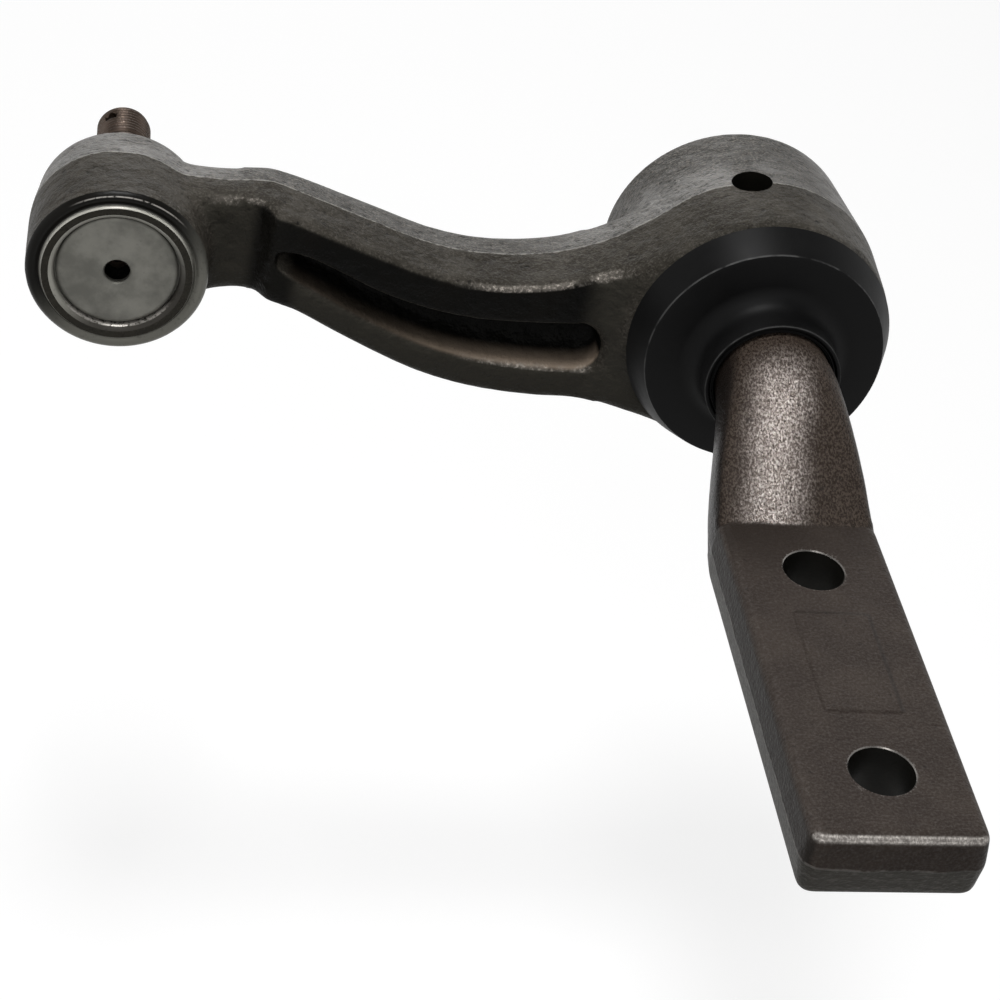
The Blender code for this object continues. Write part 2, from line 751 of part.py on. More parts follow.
def front_bushing(parent):
    """Flanged sleeve between the barrel's bore and the journal, flange to the front."""
    inner = JOURNAL_R + RUNNING_GAP
    outer = BARREL_BORE_R - SEAT_GAP
    flange = CAP_DEPTH - FLANGE_THICKNESS
    flange_r = cap_ledge_radius() - FRONT_FLANGE_ROOM
    end = barrel_stations()[0] + FRONT_BUSH_LENGTH
    profile = [
        (outer, end),
        (outer, CAP_DEPTH),
        (flange_r, CAP_DEPTH),
        (flange_r, flange),
        (inner, flange),
        (inner, end),
    ]
    sleeve = turned("front_bushing", profile, STEPS_SMALL, closed=True)
    place(sleeve, BEARING_POLYMER, parent, turn=REARWARD)


def rear_bushing(parent):
    """Flanged sleeve between the barrel's bore and the journal, flange to the rear."""
    inner = JOURNAL_R + RUNNING_GAP
    outer = BARREL_BORE_R - SEAT_GAP
    flange = rear_stack()[0]
    profile = [
        (REAR_FLANGE_R, flange + FLANGE_THICKNESS),
        (REAR_FLANGE_R, flange),
        (outer, flange),
        (outer, flange - REAR_BUSH_LENGTH),
        (inner, flange - REAR_BUSH_LENGTH),
        (inner, flange + FLANGE_THICKNESS),
    ]
    sleeve = turned("rear_bushing", profile, STEPS_SMALL, closed=True)
    place(sleeve, BEARING_POLYMER, parent, turn=REARWARD)


def thrust_washer():
    washer = rear_stack()[1]
    inner = THREAD_END_R + SEAT_GAP
    rear = washer + WASHER_THICKNESS
    profile = [(WASHER_R, rear), (WASHER_R, washer), (inner, washer), (inner, rear)]
    made = turned("thrust_washer", profile, STEPS_SMALL, closed=True)
    place(made, TURNED_STEEL, at=pivot_point(), turn=REARWARD)


def preload_disc_spring():
    """A coned spring washer that takes up the end play."""
    disc = rear_stack()[2]
    inner = THREAD_END_R + SEAT_GAP
    profile = [
        (DISC_R, disc + DISC_THICKNESS),
        (DISC_R, disc),
        (inner, disc + DISC_CONE),
        (inner, disc + DISC_CONE + DISC_THICKNESS),
    ]
    made = turned("preload_disc_spring", profile, STEPS_SMALL, closed=True)
    place(made, SPRING_STEEL, at=pivot_point(), turn=REARWARD)


def nut_corner_radius():
    return NUT_ACROSS_FLATS / 2 / math.cos(math.radians(30))


def spindle_lock_nut():
    """A slotted hexagon nut on the spindle's threaded end."""
    corner_r = nut_corner_radius()
    centre = pivot_point(rear_stack()[3] + NUT_HEIGHT / 2)
    hexagon = cylinder("spindle_lock_nut", corner_r, NUT_HEIGHT, 6)
    nut = place(hexagon, TURNED_STEEL, at=centre, turn=REARWARD)
    bore = cylinder("nut_bore", THREAD_END_R + SEAT_GAP, 3 * NUT_HEIGHT, STEPS_SMALL)
    cut(nut, helper(bore, at=centre, turn=REARWARD))
    for i in range(3):
        slot = block("nut_slot", (3 * corner_r, NUT_SLOT_DEPTH + SEAT_GAP, NUT_SLOT_WIDTH))
        x, y, z = cotter_point()
        at = (x, y + SEAT_GAP / 2, z)
        cut(nut, helper(slot, at=at, turn=(0, math.radians(60 * i), 0)))
    bevel = nut.modifiers.new("edges", "BEVEL")
    bevel.width = NUT_BEVEL
    bevel.segments = 1
    bevel.limit_method = "ANGLE"


def spindle_cotter_pin():
    """Split pin across the nut: an eye at one side and two legs bent back at the other."""
    reach = nut_corner_radius() + SEAT_GAP + COTTER_R
    at = cotter_point()
    shaft = cylinder("spindle_cotter_pin", COTTER_R, 2 * reach, STEPS_PIN)
    pin = place(shaft, SPRING_STEEL, at=at, turn=SIDEWAYS)
    half = 0.75 * COTTER_R
    bent = reach + half / 2
    for side in (-1, 1):
        leg = [(reach - CUT_OVER, 0, 0), (reach, 0, 0.2 * side * half)]
        leg += [(bent, 0, 2 * side * half), (bent, 0, side * COTTER_LEG)]
        joined(pin, helper(as_mesh(wire("cotter_leg", leg, half)), at=at))
    eye = [(x, 0, z) for x, z in arc(-reach - COTTER_EYE_R, 0, COTTER_EYE_R, 0, 330, 11)]
    joined(pin, helper(as_mesh(wire("cotter_eye", eye, half, cyclic=True)), at=at))


def barrel_end_plug(parent):
    """Pressed disc that closes the barrel's rear, crowned outwards."""
    _, rear = barrel_stations()
    seat = rear - PLUG_INSET - PLUG_THICKNESS
    rise = [(PLUG_R * f, PLUG_DOME * (1 - f * f)) for f in (0.0, 0.3, 0.55, 0.78, 0.9)]
    profile = [(r, seat + PLUG_THICKNESS + h) for r, h in rise]
    profile += [(PLUG_R, seat + PLUG_THICKNESS), (PLUG_R, seat)]
    profile += [(r, seat + h) for r, h in rise[::-1]]
    plug = turned("barrel_end_plug", profile, STEPS_SMALL)
    place(plug, COVER_STEEL, parent, turn=REARWARD)


def ball_cover_plate(parent):
    """Pressed cover under the housing's rolled lip, with the grease fitting's hole."""
    face = COVER_FACE_STATION
    step = face + COVER_STEP
    rim_r = socket_radius() - SEAT_GAP
    inner_r = COVER_FACE_R - COVER_THICKNESS
    profile = [
        (rim_r, step + COVER_THICKNESS),
        (rim_r, step),
        (COVER_FACE_R, step),
        (COVER_FACE_R, face + COVER_EDGE),
        (COVER_FACE_R - COVER_EDGE, face),
        (COVER_HOLE_R, face),
        (COVER_HOLE_R, face + COVER_THICKNESS),
        (inner_r, face + COVER_THICKNESS),
        (inner_r, step + COVER_THICKNESS),
    ]
    cover = turned("ball_cover_plate", profile, STEPS_LARGE, closed=True)
    place(cover, COVER_STEEL, parent, turn=REARWARD)


def ball_preload_spring(parent):
    """Coned coil between the cover plate and the cup's flange."""
    low = COVER_FACE_STATION + COVER_STEP + COVER_THICKNESS + SEAT_GAP + SPRING_WIRE_R
    high = BALL_STATION - CUP_RIM_BACKSET - CUP_FLANGE_THICKNESS - SEAT_GAP - SPRING_WIRE_R
    large_r = socket_radius() - 2 * SEAT_GAP - SPRING_WIRE_R
    count = int(SPRING_TURNS * SPRING_STEPS)
    points = []
    for i in range(count + 1):
        t = i / count
        angle = 2 * math.pi * SPRING_TURNS * t
        radius = SPRING_SMALL_R + (large_r - SPRING_SMALL_R) * t
        climb = min(max((t * SPRING_TURNS - 0.5) / (SPRING_TURNS - 1.0), 0.0), 1.0)
        station = low + (high - low) * climb
        points.append((radius * math.cos(angle), radius * math.sin(angle), station))
    spring = wire("ball_preload_spring", points, SPRING_WIRE_R)
    place(spring, SPRING_STEEL, parent, turn=REARWARD)


def pressure_cup(parent):
    """Steel cup that bears on the stud's round head, with a flange for the spring."""
    inner_r = STUD_HEAD_R + SEAT_GAP
    outer_r = inner_r + CUP_WALL
    flange_r = socket_radius() - SEAT_GAP
    rear = -CUP_RIM_BACKSET
    front = rear - CUP_FLANGE_THICKNESS
    start = math.degrees(math.asin(front / outer_r))
    end = math.degrees(math.asin(rear / inner_r))
    profile = [(flange_r, rear), (flange_r, front)]
    profile += arc(0, 0, outer_r, start, CUP_HOLE_ANGLE, 4)
    profile += arc(0, 0, inner_r, CUP_HOLE_ANGLE, end, 4)
    cup = turned("pressure_cup", profile, STEPS_SMALL, closed=True)
    place(cup, TURNED_STEEL, parent, turn=REARWARD)


def ball_socket_seat(parent):
    """Hardened shell in the housing's socket, open for the stud."""
    inner_r = SPHERE_R + SEAT_GAP
    outer_r = inner_r + SEAT_WALL
    outer = math.degrees(math.acos(SEAT_MOUTH_R / outer_r))
    inner = math.degrees(math.acos(SEAT_MOUTH_R / inner_r))
    profile = arc(0, 0, outer_r, outer, 0, 5) + arc(0, 0, inner_r, 0, inner, 5)
    seat = turned("ball_socket_seat", profile, STEPS_SMALL, closed=True)
    place(seat, TURNED_STEEL, parent, turn=REARWARD)


def half_ball_bearing(parent):
    """Ring with a spherical back that carries the stud's shank and tilts in the seat."""
    bore_r = STUD_SHANK_R + SEAT_GAP
    high = math.degrees(math.asin(HALF_BALL_HEIGHT / SPHERE_R))
    low = math.degrees(math.asin(SEAT_GAP / SPHERE_R))
    profile = [(bore_r, HALF_BALL_HEIGHT), *arc(0, 0, SPHERE_R, high, low, 5), (bore_r, SEAT_GAP)]
    ring = turned("half_ball_bearing", profile, STEPS_SMALL, closed=True)
    place(ring, TURNED_STEEL, parent, turn=REARWARD)


def ball_stud(parent):
    """Stud with a round head, tapered seat, undercut and threaded end with a cotter hole."""
    shank_end = STUD_SHANK_END - BALL_STATION
    taper_end = shank_end + STUD_TAPER_LENGTH
    thread = taper_end + STUD_UNDERCUT_LENGTH
    tip = thread + STUD_THREAD_LENGTH
    profile = [
        (0, tip),
        (STUD_THREAD_R - STUD_CHAMFER, tip),
        (STUD_THREAD_R, tip - STUD_CHAMFER),
        (STUD_THREAD_R, thread),
        (STUD_UNDERCUT_R, thread - SEAT_GAP),
        (STUD_UNDERCUT_R, taper_end),
        (STUD_SMALL_R, taper_end),
        (STUD_SHANK_R, shank_end),
        (STUD_SHANK_R, 0),
    ]
    profile += arc(0, 0, STUD_HEAD_R, 0, -75, 5) + [(0, -STUD_HEAD_R)]
    stud = place(turned("ball_stud", profile, STEPS_SMALL), STUD_STEEL, parent, turn=REARWARD)
    hole = cylinder("stud_cotter_hole", STUD_HOLE_R, 4 * STUD_THREAD_R, STEPS_PIN)
    at = (0, tip - STUD_HOLE_FROM_TIP, 0)
    cut(stud, helper(hole, parent, at, (0, STUD_HOLE_LEAN, 0)))


def empty(name, at, turn=(0, 0, 0), parent=None):
    """A marker on a joint's axis that the pieces turning about it hang from."""
    marker = bpy.data.objects.new(name, None)
    PARTS.objects.link(marker)
    marker.parent = parent
    marker.location = at
    marker.rotation_euler = turn
    return marker


def build():
    frame_bracket()
    thrust_washer()
    preload_disc_spring()
    spindle_lock_nut()
    spindle_cotter_pin()

    arm = empty("arm_pivot", pivot_point(), (0, ARM_TILT, 0))
    arm_forging(arm)
    barrel_dust_cap(arm)
    shaft_wiper_ring(arm)
    front_bushing(arm)
    rear_bushing(arm)
    barrel_end_plug(arm)

    housing = empty("housing_axis", (-ARM_LENGTH, 0, 0), parent=arm)
    ball_cover_plate(housing)
    ball_preload_spring(housing)

    ball = empty("ball_centre", (0, BALL_STATION, 0), parent=housing)
    ball_socket_seat(ball)
    pressure_cup(ball)
    half_ball_bearing(ball)
    ball_stud(ball)


build()
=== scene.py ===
import math

import bpy
from mathutils import Matrix, Vector


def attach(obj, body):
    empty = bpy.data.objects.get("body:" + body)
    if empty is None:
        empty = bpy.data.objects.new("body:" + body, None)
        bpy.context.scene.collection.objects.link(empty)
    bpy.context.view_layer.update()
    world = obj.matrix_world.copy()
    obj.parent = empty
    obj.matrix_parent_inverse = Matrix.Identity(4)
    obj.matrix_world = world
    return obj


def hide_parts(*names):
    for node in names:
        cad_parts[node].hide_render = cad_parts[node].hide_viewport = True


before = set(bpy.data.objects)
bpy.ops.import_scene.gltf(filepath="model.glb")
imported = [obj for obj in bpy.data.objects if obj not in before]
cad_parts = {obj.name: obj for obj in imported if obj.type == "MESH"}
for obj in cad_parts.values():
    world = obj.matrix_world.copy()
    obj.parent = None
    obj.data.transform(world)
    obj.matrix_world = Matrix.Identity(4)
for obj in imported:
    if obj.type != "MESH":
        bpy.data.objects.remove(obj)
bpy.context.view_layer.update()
print("frame loaded:", len(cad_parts), "nodes")

mm = 0.001
capFace = 107.0           # y of the dust cap's face, and the zero of every station below
parting = 28.3            # station of the arm's parting plane
pivot = (1.0, 9.7)        # x and z of the pivot axis
armTilt = math.radians(3.8)
armLength = 164.4
ballAxis = (pivot[0] - armLength * math.cos(armTilt), pivot[1] + armLength * math.sin(armTilt))
ballStation = 29.0


def onlySelect(*objects):
    if bpy.context.object and bpy.context.object.mode != "OBJECT":
        bpy.ops.object.mode_set(mode="OBJECT")
    bpy.ops.object.select_all(action="DESELECT")
    for obj in objects:
        obj.select_set(True)
    bpy.context.view_layer.objects.active = objects[0]


def startFresh():
    # object mode with nothing selected, ready for a new shape
    onlySelect(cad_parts["arm_forging"])
    bpy.ops.object.select_all(action="DESELECT")


def nameIt(obj, name):
    obj.name = name
    obj.data.name = name
    return obj


def applyModifier(obj, kind, **settings):
    onlySelect(obj)
    modifier = obj.modifiers.new(kind.lower(), kind)
    for key, value in settings.items():
        setattr(modifier, key, value)
    bpy.ops.object.modifier_apply(modifier=modifier.name)


def cleanMesh(obj, gap=1e-6):
    onlySelect(obj)
    bpy.ops.object.mode_set(mode="EDIT")
    bpy.ops.mesh.select_all(action="SELECT")
    bpy.ops.mesh.remove_doubles(threshold=gap)
    bpy.ops.mesh.normals_make_consistent(inside=False)
    bpy.ops.object.mode_set(mode="OBJECT")


def smoothShade(obj, angle=35):
    onlySelect(obj)
    bpy.ops.object.shade_smooth_by_angle(angle=math.radians(angle))


def arc(centreR, centreS, radius, start, end, count):
    found = []
    for i in range(count + 1):
        a = math.radians(start + (end - start) * i / count)
        found.append((centreR + radius * math.cos(a), centreS + radius * math.sin(a)))
    return found


def rounded(points, radius, count=3):
    # swaps each inner corner of an open profile for a short curve
    found = [points[0]]
    for before, here, after in zip(points, points[1:], points[2:]):
        before, here, after = Vector(before), Vector(here), Vector(after)
        reach = min(radius, 0.4 * (before - here).length, 0.4 * (after - here).length)
        a = here + (before - here).normalized() * reach
        b = here + (after - here).normalized() * reach
        for k in range(count + 1):
            t = k / count
            p = a * (1 - t) ** 2 + here * 2 * t * (1 - t) + b * t * t
            found.append((p.x, p.y))
    return found + [points[-1]]


def spinPiece(name, axis, profile, steps, closed=False, start=0.0):
    # draws the profile of (radius, station) as a wire by extruding one point, then spins it
    path = list(profile) + ([profile[0]] if closed else [])
    points = [Vector(((axis[0] + r) * mm, (capFace + start + s) * mm, axis[1] * mm)) for r, s in path]
    startFresh()
    bpy.ops.mesh.primitive_plane_add(size=0.001, location=(0, 0, 0))
    obj = nameIt(bpy.context.object, name)
    bpy.ops.object.mode_set(mode="EDIT")
    bpy.ops.mesh.select_mode(type="VERT")
    bpy.ops.mesh.merge(type="CENTER")
    bpy.ops.transform.translate(value=points[0])
    for here, there in zip(points, points[1:]):
        bpy.ops.mesh.extrude_region_move(TRANSFORM_OT_translate={"value": there - here})
    bpy.ops.mesh.select_all(action="SELECT")
    bpy.ops.mesh.remove_doubles(threshold=1e-7)
    bpy.ops.mesh.spin(steps=steps, angle=2 * math.pi, center=(axis[0] * mm, 0, axis[1] * mm),
                      axis=(0, 1, 0))
    bpy.ops.object.mode_set(mode="OBJECT")
    cleanMesh(obj)
    return obj


def rod(name, radius, depth, centre, turn, steps=64):
    # a plain round cutter
    startFresh()
    bpy.ops.mesh.primitive_cylinder_add(vertices=steps, radius=radius * mm, depth=depth * mm,
                                        location=[c * mm for c in centre], rotation=turn)
    obj = nameIt(bpy.context.object, name)
    bpy.ops.object.transform_apply(location=True, rotation=True, scale=True)
    return obj


def joinInto(obj, *others):
    onlySelect(obj, *others)
    bpy.ops.object.join()
    return obj


def cutWith(obj, tool, operation="DIFFERENCE"):
    applyModifier(obj, "BOOLEAN", operation=operation, object=tool, solver="MANIFOLD",
                  material_mode="TRANSFER")
    bpy.data.objects.remove(tool, do_unlink=True)


def copyNode(node, name):
    # a CAD node's mesh is loose triangles, so its copy is merged before anything else
    obj = bpy.data.objects.new(name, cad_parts[node].data.copy())
    bpy.context.scene.collection.objects.link(obj)
    obj.data.materials.clear()
    if "custom_normal" in obj.data.attributes:
        obj.data.attributes.remove(obj.data.attributes["custom_normal"])
    cleanMesh(obj)
    return obj


def smoothPlace(obj, chosen, passes):
    # relaxes only the points that the test picks
    onlySelect(obj)
    bpy.ops.object.mode_set(mode="EDIT")
    bpy.ops.mesh.select_all(action="DESELECT")
    bpy.ops.object.mode_set(mode="OBJECT")
    for vertex in obj.data.vertices:
        vertex.select = chosen(vertex.co)
    bpy.ops.object.mode_set(mode="EDIT")
    bpy.ops.mesh.select_mode(type="VERT")
    bpy.ops.mesh.vertices_smooth(factor=0.5, repeat=passes)
    bpy.ops.object.mode_set(mode="OBJECT")


def armPlace(co):
    # a point as millimetres along the arm from the pivot, height above its line, and station
    x, z = co[0] / mm - pivot[0], co[2] / mm - pivot[1]
    along = -(x * math.cos(armTilt) - z * math.sin(armTilt))
    height = x * math.sin(armTilt) + z * math.cos(armTilt)
    return along, height, co[1] / mm - capFace


class Value:
    # one shader socket, so that shader maths reads as Python
    def __init__(self, web, socket):
        self.web = web
        self.socket = socket

    def math(self, operation, *others):
        inputs = {0: self}
        for i, other in enumerate(others):
            inputs[i + 1] = other
        return self.web.add("ShaderNodeMath", {"operation": operation}, inputs)

    def __add__(self, other):
        return self.math("ADD", other)

    def __radd__(self, other):
        return self.math("ADD", other)

    def __mul__(self, other):
        return self.math("MULTIPLY", other)

    def __rmul__(self, other):
        return self.math("MULTIPLY", other)

    def __sub__(self, other):
        return self.math("SUBTRACT", other)

    def __rsub__(self, other):
        return self.web.add("ShaderNodeMath", {"operation": "SUBTRACT"}, {0: other, 1: self})

    def __pow__(self, other):
        return self.math("POWER", other)

    def __abs__(self):
        return self.math("ABSOLUTE")


class Web:
    # one material's nodes
    def __init__(self, name):
        self.material = bpy.data.materials.new(name)
        self.material.use_nodes = True
        self.tree = self.material.node_tree
        self.shader = self.tree.nodes["Principled BSDF"]
        self.where = self.add("ShaderNodeTexCoord", out="Object")

    def add(self, kind, settings=None, values=None, out=0):
        node = self.tree.nodes.new(kind)
        for key, value in (settings or {}).items():
            setattr(node, key, value)
        for key, value in (values or {}).items():
            if isinstance(value, Value):
                self.tree.links.new(value.socket, node.inputs[key])
            else:
                node.inputs[key].default_value = value
        return Value(self, node.outputs[out])

    def stretch(self, x, y, z):
        return self.add("ShaderNodeMapping", None, {"Vector": self.where, "Scale": (x, y, z)})

    def noise(self, scale, detail, rough, at=None, twist=0.0):
        values = {"Vector": at or self.where, "Scale": scale, "Detail": detail, "Roughness": rough}
        return self.add("ShaderNodeTexNoise", None, {**values, "Distortion": twist})

    def cells(self, scale):
        values = {"Vector": self.where, "Scale": scale}
        return self.add("ShaderNodeTexVoronoi", None, values, out="Distance")

    def span(self, value, low, high, toLow=0.0, toHigh=1.0):
        return self.add("ShaderNodeMapRange", {"interpolation_type": "SMOOTHSTEP"},
                        {"Value": value, "From Min": low, "From Max": high,
                         "To Min": toLow, "To Max": toHigh})

    def tint(self, factor, low, high):
        # colour between two colours; 6 and 7 are the Mix node's colour inputs
        ends = [colour if isinstance(colour, Value) else (*colour, 1) for colour in (low, high)]
        return self.add("ShaderNodeMix", {"data_type": "RGBA"}, {0: factor, 6: ends[0], 7: ends[1]}, out=2)

    def part(self, index, source=None):
        return self.add("ShaderNodeSeparateXYZ", None, {0: source or self.where}, out=index)

    def placeMm(self, index, origin=0.0):
        # one object coordinate in millimetres from an origin
        return self.part(index) * 1000.0 - origin

    def facing(self, index):
        return self.part(index, self.add("ShaderNodeTexCoord", out="Normal"))

    def edges(self, low, high):
        return self.span(self.add("ShaderNodeNewGeometry", out="Pointiness"), low, high)

    def bump(self, height, depth, below=None):
        values = {"Height": height, "Distance": depth * mm, "Strength": 1.0}
        if below is not None:
            values["Normal"] = below
        return self.add("ShaderNodeBump", None, values)

    def finish(self, colour, rough, metal, normal, shine):
        looks = {"Base Color": colour, "Roughness": rough, "Metallic": metal, "Normal": normal,
                 "Specular IOR Level": shine}
        for socket, value in looks.items():
            if isinstance(value, Value):
                self.tree.links.new(value.socket, self.shader.inputs[socket])
            else:
                self.shader.inputs[socket].default_value = value
        return self.material


armSkin = {
    "dark": (0.0026, 0.0025, 0.0020), "brown": (0.0050, 0.0044, 0.0034), "face": (0.046, 0.0425, 0.0345),
    "wall": (0.056, 0.0505, 0.042), "wallDark": (0.031, 0.0275, 0.022), "pocket": (0.260, 0.205, 0.155),
    "sheenGrey": (0.155, 0.151, 0.144), "sheenGreyDark": (0.054, 0.051, 0.046), "ridge": (0.30, 0.29, 0.265),
    "glintAndWear": (0.33, 0.30, 0.265), "pit": (0.0055, 0.0050, 0.0042), "beamFront": 14.0, "shine": 0.05}


def forgedArmFinish():
    # zones are told apart by the place along the arm, the height on it and the way a face looks
    web = Web("forgedArmSkin")
    skin = armSkin
    px, pz = web.placeMm(0, pivot[0]), web.placeMm(2, pivot[1])
    along = pz * math.sin(armTilt) - px * math.cos(armTilt)
    height = px * math.sin(armTilt) + pz * math.cos(armTilt)
    y = web.placeMm(1, capFace + parting)
    across, up = web.facing(1), web.facing(2)
    sideways = 1 - web.span(abs(across), 0.70, 0.94)      # walls, not the flat faces
    away = y + (web.noise(90, 2, 0.5) - 0.5) * 1.6
    behind = web.span(away, -0.2, 0.35) * sideways
    ahead = sideways * (1 - behind)
    beam = web.span(along, 38, 58) * (1 - web.span(along, 120, 134))
    blotch = web.span(web.noise(70, 3, 0.6), 0.35, 0.68)
    patch = web.span(web.noise(34, 3, 0.6), 0.40, 0.60) * (1 - beam * 0.8)
    mottle = web.noise(420, 3, 0.6)
    grain = web.noise(1450, 3, 0.6)
    spark = web.span(grain, 0.48, 0.66)
    drawn = web.noise(1.0, 3, 0.65, at=web.stretch(300, 1150, 800))  # fine marks drawn out along the arm
    ridge = (1 - web.span(abs(away), 0.10, 0.45)) * sideways

    fromMiddle = height - web.span(along, 72, 132, -12.8, 5.0)
    depth = y + skin["beamFront"]
    pocket = web.span(depth, 0.2, 1.0) * (1 - web.span(abs(fromMiddle), 6.6, 7.6))
    pocket = pocket * web.span(along, 34, 38) * (1 - web.span(along, 120, 124)) * web.span(y, -3.0, -5.0)
    shade = web.span(fromMiddle, -5.0, 0.5) * web.span(along, 40, 48) * (1 - web.span(along, 119, 127))
    # painted shade: the neck's ramp wall that does not face up is darkened
    rampShade = web.span(along, 118, 123) * (1 - web.span(along, 130, 134))
    rampShade = rampShade * web.span(y, -6.0, -9.0) * (1 - web.span(up, 0.35, 0.65))
    # painted highlight: bright broken bands on the rounded upper front edges and along the pocket's lower
    # edge, where those edges face the lamps, plus a little real wear on sharp edges
    turned = web.span(up, 0.22, 0.45) * (1 - web.span(up, 0.78, 0.93)) * web.span(across, -0.25, -0.50)
    nearBarrel = web.span(along, 33, 44) * (1 - web.span(along, 66, 84))
    atNeck = web.span(along, 127, 132) * (1 - web.span(along, 139, 145)) * 0.55
    topEdge = web.span(fromMiddle, 4.0, 6.5) * (nearBarrel + atNeck)
    lowEdge = (1 - web.span(depth, 0.6, 1.8)) * web.span(fromMiddle, -3.0, -5.0)
    lowEdge = lowEdge * web.span(along, 37, 42) * (1 - web.span(along, 62, 80))
    broken = web.span(web.noise(260, 3, 0.6), 0.34, 0.54)
    glintAndWear = turned * (topEdge + lowEdge) * broken * (spark * 0.7 + 0.3) + web.edges(0.51, 0.55) * 0.06 * spark

    colour = web.tint(blotch, skin["dark"], skin["brown"])
    colour = web.tint((1 - shade) * 0.85, colour, skin["face"])
    colour = web.tint(ahead, colour, web.tint(blotch, skin["wallDark"], skin["wall"]))
    # painted light: the up-facing walls ahead of the parting line, right of the pivot, are made lighter
    paintedTopLight = ahead * web.span(px, 2, 22) * web.span(up, 0.2, 0.6) * 0.2
    colour = web.tint(paintedTopLight, colour, skin["sheenGrey"])
    # painted sheen: the walls behind the parting line are given a lighter grey, standing in for the back
    # lamp's sheen
    colour = web.tint(behind, colour, web.tint(patch, skin["sheenGreyDark"], skin["sheenGrey"]))
    colour = web.tint(web.span(drawn, 0.47, 0.33) * sideways * (0.45 + behind * 0.4), colour, skin["pit"])
    # painted glints: light specks on the walls, more of them behind the parting line
    colour = web.tint(spark * sideways * (0.10 + behind * 0.24), colour, skin["glintAndWear"])
    # painted shade inside the pocket, then painted light on the pocket's up-facing lower wall near its mouth
    colour = web.tint(pocket, colour, skin["dark"])
    lit = pocket * web.span(up, 0.07, 0.42) * (1 - web.span(depth, 0.8, 5.9))
    colour = web.tint(lit * (0.14 + 0.86 * web.span(along, 108, 58)), colour, skin["pocket"])
    colour = web.tint(rampShade * 0.9, colour, skin["dark"])
    pits = web.span(mottle, 0.40, 0.28) * (1 - pocket) * (0.30 + sideways * 0.4)
    colour = web.tint(pits, colour, skin["pit"])
    colour = web.tint(ridge * web.span(web.noise(600, 3, 0.6), 0.35, 0.6) * 0.8, colour, skin["ridge"])
    colour = web.tint(glintAndWear * 0.9, colour, skin["glintAndWear"])
    rough = web.span(grain, 0.3, 0.7, 0.34, 0.48) + blotch * 0.04 - glintAndWear * 0.08
    metal = behind * (0.35 + patch * 0.3) + glintAndWear * 0.6
    normal = web.bump(mottle, 0.65)
    normal = web.bump(web.noise(150, 2, 0.5), 1.4, normal)
    normal = web.bump(drawn * behind + ridge * 0.9, 0.22, normal)
    normal = web.bump(grain, 0.24, normal)
    return web.finish(colour, rough, metal, normal, skin["shine"])


bracketSkin = {
    "brown": (0.045, 0.035, 0.029), "dark": (0.033, 0.025, 0.021), "bend": (0.020, 0.015, 0.012),
    "side": (0.012, 0.009, 0.0075), "top": (0.070, 0.054, 0.043), "topDark": (0.024, 0.017, 0.013),
    "shot": (0.42, 0.38, 0.355), "shotDark": (0.130, 0.108, 0.096), "fleck": (0.62, 0.58, 0.54),
    "pit": (0.010, 0.008, 0.007), "shearedSheen": (0.062, 0.059, 0.051), "steep": (0.0115, 0.0095, 0.0078),
    "shine": 0.07}


